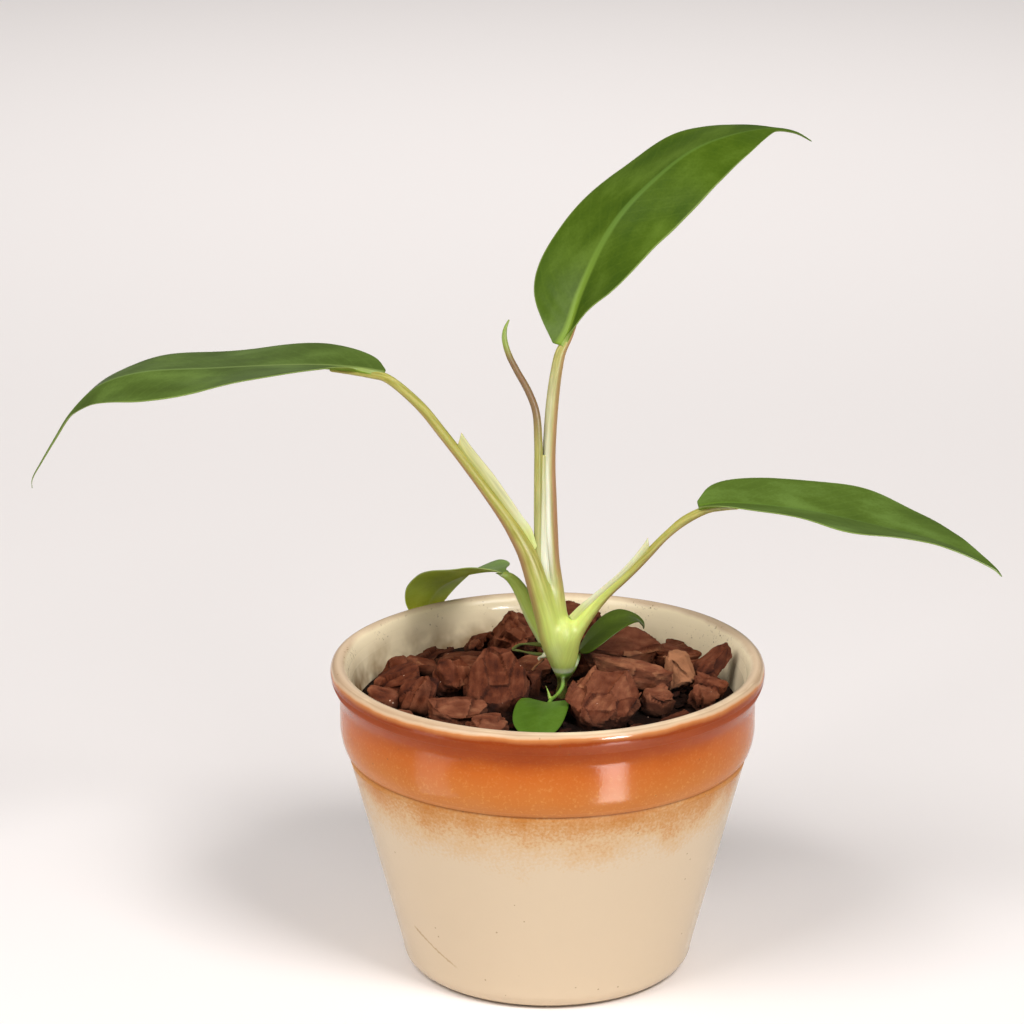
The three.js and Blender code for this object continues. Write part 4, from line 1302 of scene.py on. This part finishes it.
@dataclass
class LeafBlade:
    """One blade: a thin waxy sheet, folded at its midrib, with a drip tip."""

    name: str
    midrib: Sequence[Point]
    widths: Sequence[float]
    roll: Sequence[float]
    fold: Sequence[float]
    facing: Point = (0, 0, 1)
    tip: Sequence[Point] = ()
    steps: int = 64
    across: int = 28
    thickness: float = 0.42
    rib: float = 1.2
    rib_width: float = 0.95
    ripple: float = 0.22
    relief: float = 0.3
    quilting: float = 0.07
    vein_gap: float = 4.5
    crease: Sequence[float] = (0,) * len(LEAF_STATIONS)
    starts: tuple[float, float] = (0.0, 0.0)
    upper: LeafSkin = LeafSkin("green_leaf_skin")
    under: LeafSkin = LeafSkin("pale_leaf_underside", "#66762a", "#76862f", "#8d9845", roughness=0.6,
                               gloss=0.05)

    def course(self) -> tuple[CentreLine, float]:
        """Give the midrib's line, and the share of its length where the drip tip starts."""
        line = CentreLine([*self.midrib, *self.tip])
        return line, line.share_at(len(self.midrib) - 1) if self.tip else 1.0

    def station(self, share: float, body: float) -> tuple[float, float]:
        """Give the share of the blade, and of the drip tip, that lies behind a place on the midrib."""
        return min(share / body, 1.0), max(0.0, (share - body) / max(1 - body, 1e-6))

    def lie(self, line: CentreLine, body: float, share: float) -> tuple[Vector, Vector, float]:
        """Work out how the blade lies across its midrib.

        Args:
            line: The midrib's line.
            body: The share of it where the drip tip starts.
            share: Where along it the blade is looked at.

        Returns:
            The way up from the upper face, the way across, and how far across the crease lies.
        """
        v, past = self.station(share, body)
        tangent, reference = line.tangent(share), Vector(self.facing)
        normal = (reference - tangent * reference.dot(tangent)).normalized()
        normal.rotate(Matrix.Rotation(math.radians(evenly(self.roll, v)), 3, tangent))
        return normal, tangent.cross(normal), along(LEAF_STATIONS, self.crease, v) * (1 - past)

    def under_rib(self, shares: Sequence[float]) -> list[Point]:
        """List points inside the rib, below the blade, for the stalk to run on through.

        Args:
            shares: Shares of the midrib's length.

        Returns:
            The points in millimetres.
        """
        line, body = self.course()
        points = []
        for share in shares:
            normal, side, centre = self.lie(line, body, share)
            points.append(tuple(line.at(share) + side * centre - normal * (0.25 + 0.5 * self.rib)))
        return points

    def build(self, upper: bpy.types.Material, under: bpy.types.Material) -> None:
        """Shape the sheet, give it its thickness and its midrib, and dress both sides.

        Args:
            upper: The finish of the upper face.
            under: The finish of the lower face.
        """
        line, body = self.course()
        notes: list[tuple[float, float, float]] = []
        pasts: list[float] = []

        def surface(a: float, b: float) -> Vector:
            """Give a point of the blade and note its place on the leaf."""
            share = 0.5 * a + 0.25 * (1 - math.cos(math.pi * a))
            v, past = self.station(share, body)
            far = share * line.length
            normal, side, centre = self.lie(line, body, share)
            half = self.widths[-1] * (1 - 0.82 * past) if past > 0 else along(LEAF_STATIONS, self.widths, v)
            w = 2 * b - 1
            start = self.starts[1 if w > 0 else 0]
            reach = abs(w) ** 1.15
            opened = ease(v, start - 0.5 * start, start + 0.6 * start) if start > 0 else 1.0
            s = reach * (half - math.copysign(centre, w) if w > 0 else half + centre) * max(opened, 0.05)
            angle = math.radians(evenly(self.fold, v))
            wave = self.ripple * reach ** 3 * ease(half, 2, 12) * math.sin(far / 5.2 + (1.7 if w > 0 else 0))
            bulge = self.relief * ease(half, 3, 10) * reach * noise.noise(
                Vector((far / 13, math.copysign(s, w) / 7, self.midrib[0][0])))
            phase = 2 * math.pi * (far - 0.75 * s) / self.vein_gap
            quilt = self.quilting * ease(half, 4, 12) * (1 - reach) * s / 4 * math.sin(phase)
            notes.append((far, math.copysign(s, w), reach))
            pasts.append(past)
            lift = s * math.sin(angle) + wave + bulge + quilt
            return (line.at(share) + side * (centre + math.copysign(s, w) * math.cos(angle))
                    + normal * (lift + 0.65 * (1 - past)))

        piece = sheet(self.name, self.steps, self.across, surface)
        edit(piece, lambda: bpy.ops.mesh.flip_normals())
        paint(piece, leaf=notes, reach=[n[0] / line.length for n in notes])
        group = piece.vertex_groups.new(name="thick")
        full = self.thickness + self.rib
        for i, ((far, s, _), past) in enumerate(zip(notes, pasts)):
            rib = self.rib * (1 - far / line.length) ** 0.7 * math.exp(-(s / self.rib_width) ** 2)
            group.add([i], (self.thickness + rib) * (1 - 0.45 * past) / full, "REPLACE")
        for skin in (upper, under):
            piece.data.materials.append(skin)
        finish_with(piece, "SOLIDIFY", thickness=full * MM, offset=-1, vertex_group="thick",
                    thickness_vertex_group=0.0, material_offset=1, material_offset_rim=0)
        finish_with(piece, "SUBSURF", levels=1, render_levels=1)
        smooth(piece)
        settle(piece, Slot.BLADE, [self.node()], upper, under)

    def node(self) -> str:
        """Give the CAD node that the blade stands for."""
        return self.name.replace("_leaf_skin", "_leaf_blade")


BLADES = (
    LeafBlade("tall_leaf_skin",
              ((3.3, 0, 192.9), (8.6, 8.5, 206.4), (20.5, 17.7, 226.6), (30.4, 22.7, 236.4),
               (42.7, 27.9, 244.9), (55.9, 33.2, 248.6), (67.1, 38.8, 248.8)),
              (1.7, 6.6, 15.3, 18.1, 17.8, 16, 9.4, .8), (-26, -26, -40), (31, -10, -9), (-.3, -1, .5),
              ((73.5, 41.5, 247.4), (78.5, 43.5, 244.4)), crease=(.6, 2, 1.2, 0, 0, 0, 0, 0), starts=(0, .03),
              upper=LeafSkin("deep_green_leaf_skin", "#354b08", "#40550d", "#50661c", fade_start=.4,
                             fade_end=.8, gloss=0.16)),
    LeafBlade("left_leaf_skin",
              ((-48.3, 0, 184.2), (-55.5, 2.6, 184.7), (-69.4, 5.3, 184.9), (-99.9, 10, 182.5),
               (-122, 13.4, 180.1), (-134, 16.2, 175.2), (-142.8, 18.8, 166)),
              (1.4, 7.5, 14.8, 18.2, 18.4, 16.6, 8.4, .8), (1, -3, -22), (18, -2, -17), (0, 0, 1),
              ((-147.5, 20, 158.6), (-152.2, 21, 150.8), (-155.6, 22, 144.4), (-155.4, 22.2, 141.9)),
              starts=(.12, 0),
              upper=LeafSkin("grey_green_leaf_skin", "#405214", "#4a5e1e", "#5c722e", rib="#7f8f4a",
                             rib_far="#6a8040", rib_base=0.7, rib_end=0.4, rib_share=0.6, fade_start=0.6,
                             fade_end=1.0, gloss=0.25)),
    LeafBlade("right_leaf_skin",
              ((44.4, 0, 143.5), (50, .3, 144.7), (60.3, 0, 144.8), (77.1, -2.3, 143.4), (95.8, -6.9, 140.3),
               (117.1, -13.7, 136.1), (130.6, -22.4, 131.2)),
              (1.6, 8.2, 12.3, 14.9, 18.2, 14.2, 6.3, .8), (3, 2, -12), (15, 9, 9), (0, 0, 1),
              ((132.6, -23.8, 130),), crease=(1, 2, 2.4, 2.3, 1.6, .8, 0, 0),
              upper=LeafSkin("mid_green_leaf_skin", "#425614", "#4b601b", "#5c742e", rib="#5f7c22",
                             rib_base=0.8, rib_share=0.5)),
    LeafBlade("small_left_leaf_skin",
              ((-12.9, 6.4, 120.2), (-15.2, 13, 118.8), (-18.9, 24, 115), (-24.4, 34, 110.6),
               (-29.4, 44, 105.4), (-34.2, 53, 99.4), (-38, 61, 91), (-39.4, 65.5, 83)),
              (1.3, 2, 6.2, 10, 11.8, 10.8, 7, 1), (0, 0, 0), (10, 14, 6), steps=48, across=22, rib=0.5,
              rib_width=0.7, ripple=0.15, relief=0.2,
              # Its upper skin is lighter and its margin paler than the other leaves', partly painted sheen
              # along its top edge.
              upper=LeafSkin("olive_leaf_skin", "#66842c", "#74923a", "#86a44c", rib_share=0.4,
                             margin="#b4b878", roughness=0.45, gloss=0.25),
              under=LeafSkin("olive_leaf_underside", "#869c1c", "#94aa24", "#a6ba38", rib_share=0.0,
                             margin="#b4b878", margin_share=0.6, roughness=0.55, gloss=0.08, glow=0.8)),
    LeafBlade("small_right_leaf_skin",
              ((9.7, 6.4, 95.4), (13.3, 7.4, 98.9), (16.9, 8.8, 101.8), (20.5, 10.4, 103.9),
               (23.8, 12.4, 104.5), (26.4, 14.7, 103.2), (28.4, 16.5, 100.9)),
              (1.6, 4.4, 5.7, 6, 5.7, 4.6, 2.4, 1.1), (-44, -28, -12), (-8, 0, 8), (0, -.6, .8),
              ((29.2, 17.2, 99.4),), steps=36, across=18, rib=0.4, rib_width=0.6, ripple=0.1, relief=0.2,
              upper=LeafSkin("dark_small_leaf_skin", "#3a4a0c", "#445410", "#50641c", rib_share=0.0,
                             margin_share=0.0)),
    LeafBlade("front_leaf_skin",
              ((-.4, -13.4, 86.2), (-1.6, -20, 86.6), (-2.7, -28, 86.2), (-3.2, -35, 85.3),
               (-3.7, -40.5, 84.4)),
              (5.6, 7.2, 7.8, 8, 7.8, 6.9, 4.9, 1), (0, 0, 0), (10, 5, 2), steps=36, across=18, rib=0.4,
              rib_width=0.6, ripple=0.15, relief=0.2,
              upper=LeafSkin("small_leaf_skin", "#3c580f", "#456216", "#527226", rib_share=0.15,
                             margin_share=0.0)))


@dataclass(frozen=True)
class Lamp:
    """One soft light: place, aim and size in metres, power in watts, and spread in degrees.

    Only reflections show a light that is gloss_only.
    """

    name: str
    place: Point
    aim: Point
    width: float
    depth: float
    watts: float
    spread: float = 180
    gloss_only: bool = False


@dataclass
class Studio:
    """Plain pale floor, soft lights and the camera."""

    eye: Point = (0.0, -1.2709, 0.5467)
    down: float = 17.670
    turn: float = 0.4834
    lens: float = 158.203
    world: float = 0.22
    floor_colour: str = "#f2ebe8"
    floor_roughness: float = 0.6
    floor_size: float = 12.0
    lamps: Sequence[Lamp] = (
        Lamp("key_right", (0.58, -0.78, 1.1), (0, 0, 0.1), 0.5, 0.5, 15.5),
        Lamp("key_left", (-0.72, -0.66, 1.1), (0, 0, 0.1), 0.8, 0.8, 14.5),
        Lamp("floor_behind", (0, 1.2, 1.4), (0, 1.2, 0), 1.6, 1.0, 3.9, 75),
        Lamp("low_right_card", (0.0937, -0.1542, 0.0165), (0.0727, -0.1231, 0.1092), 0.038, 0.087, 0.22,
             gloss_only=True),
        Lamp("lip_card", (0.118, -0.196, 0.15), (0, 0, 0.094), 0.036, 0.035, 0.9, gloss_only=True),
        Lamp("low_left_card", (-0.1448, -0.0977, 0.0165), (-0.1101, -0.0834, 0.1092), 0.055, 0.087, 0.045,
             gloss_only=True))

    def build(self) -> None:
        """Place the floor, the lights and the camera."""
        self.floor()
        world = bpy.data.worlds.new("soft_room")
        world.use_nodes = True
        background = world.node_tree.nodes["Background"]
        background.inputs["Color"].default_value = linear("#ffffff")
        background.inputs["Strength"].default_value = self.world
        bpy.context.scene.world = world
        for lamp in self.lamps:
            self.light(lamp)
        camera = bpy.data.cameras.new("camera")
        camera.lens = self.lens
        camera.sensor_width = 36
        camera.clip_start = 0.01
        eye = bpy.data.objects.new("camera", camera)
        eye.location = self.eye
        eye.rotation_euler = (math.radians(90 - self.down), 0, math.radians(self.turn))
        bpy.context.scene.collection.objects.link(eye)
        bpy.context.scene.camera = eye
        bpy.context.scene.view_settings.view_transform = "Standard"

    def floor(self) -> None:
        """Lay the floor."""
        bpy.ops.mesh.primitive_plane_add(size=self.floor_size)
        floor = bpy.context.object
        floor.name = "floor"
        material = bpy.data.materials.new("pale_floor")
        material.use_nodes = True
        shader = material.node_tree.nodes["Principled BSDF"]
        shader.inputs["Base Color"].default_value = linear(self.floor_colour)
        shader.inputs["Roughness"].default_value = self.floor_roughness
        floor.data.materials.append(material)

    def light(self, lamp: Lamp) -> None:
        """Hang a soft light that the camera does not see.

        Args:
            lamp: The light's values.
        """
        data = bpy.data.lights.new(lamp.name, "AREA")
        data.shape = "RECTANGLE"
        data.size, data.size_y, data.energy = lamp.width, lamp.depth, lamp.watts
        data.spread = math.radians(lamp.spread)
        obj = bpy.data.objects.new(lamp.name, data)
        obj.location = lamp.place
        obj.rotation_euler = (Vector(lamp.place) - Vector(lamp.aim)).to_track_quat("Z", "Y").to_euler()
        obj.visible_camera = False
        obj.visible_diffuse = not lamp.gloss_only
        bpy.context.scene.collection.objects.link(obj)


def main() -> None:
    """Build every piece in order."""
    logging.basicConfig(level=logging.INFO, format="%(name)s %(message)s")
    bark = PineBark().make()
    stalk = StalkSkin().make()
    Studio().build()
    Pot().build(StonewareGlaze().make())
    BarkMix().build(bark)
    BarkChips().build(bark)
    PlantBody().build(stalk, BLADES)
    Sheaths().build(stalk)
    Spear().build(StalkSkin("new_leaf_skin", blush="#7b5f44", green="#84984a").make())
    DriedSheath().build(StalkSkin("dried_skin", blush="#7a4a2c", green="#3c5420", roughness=0.8).make())
    skins = {skin: skin.make() for skin in dict.fromkeys(s for b in BLADES for s in (b.upper, b.under))}
    for blade in BLADES:
        blade.build(skins[blade.upper], skins[blade.under])


if __name__ == "__main__":
    main()
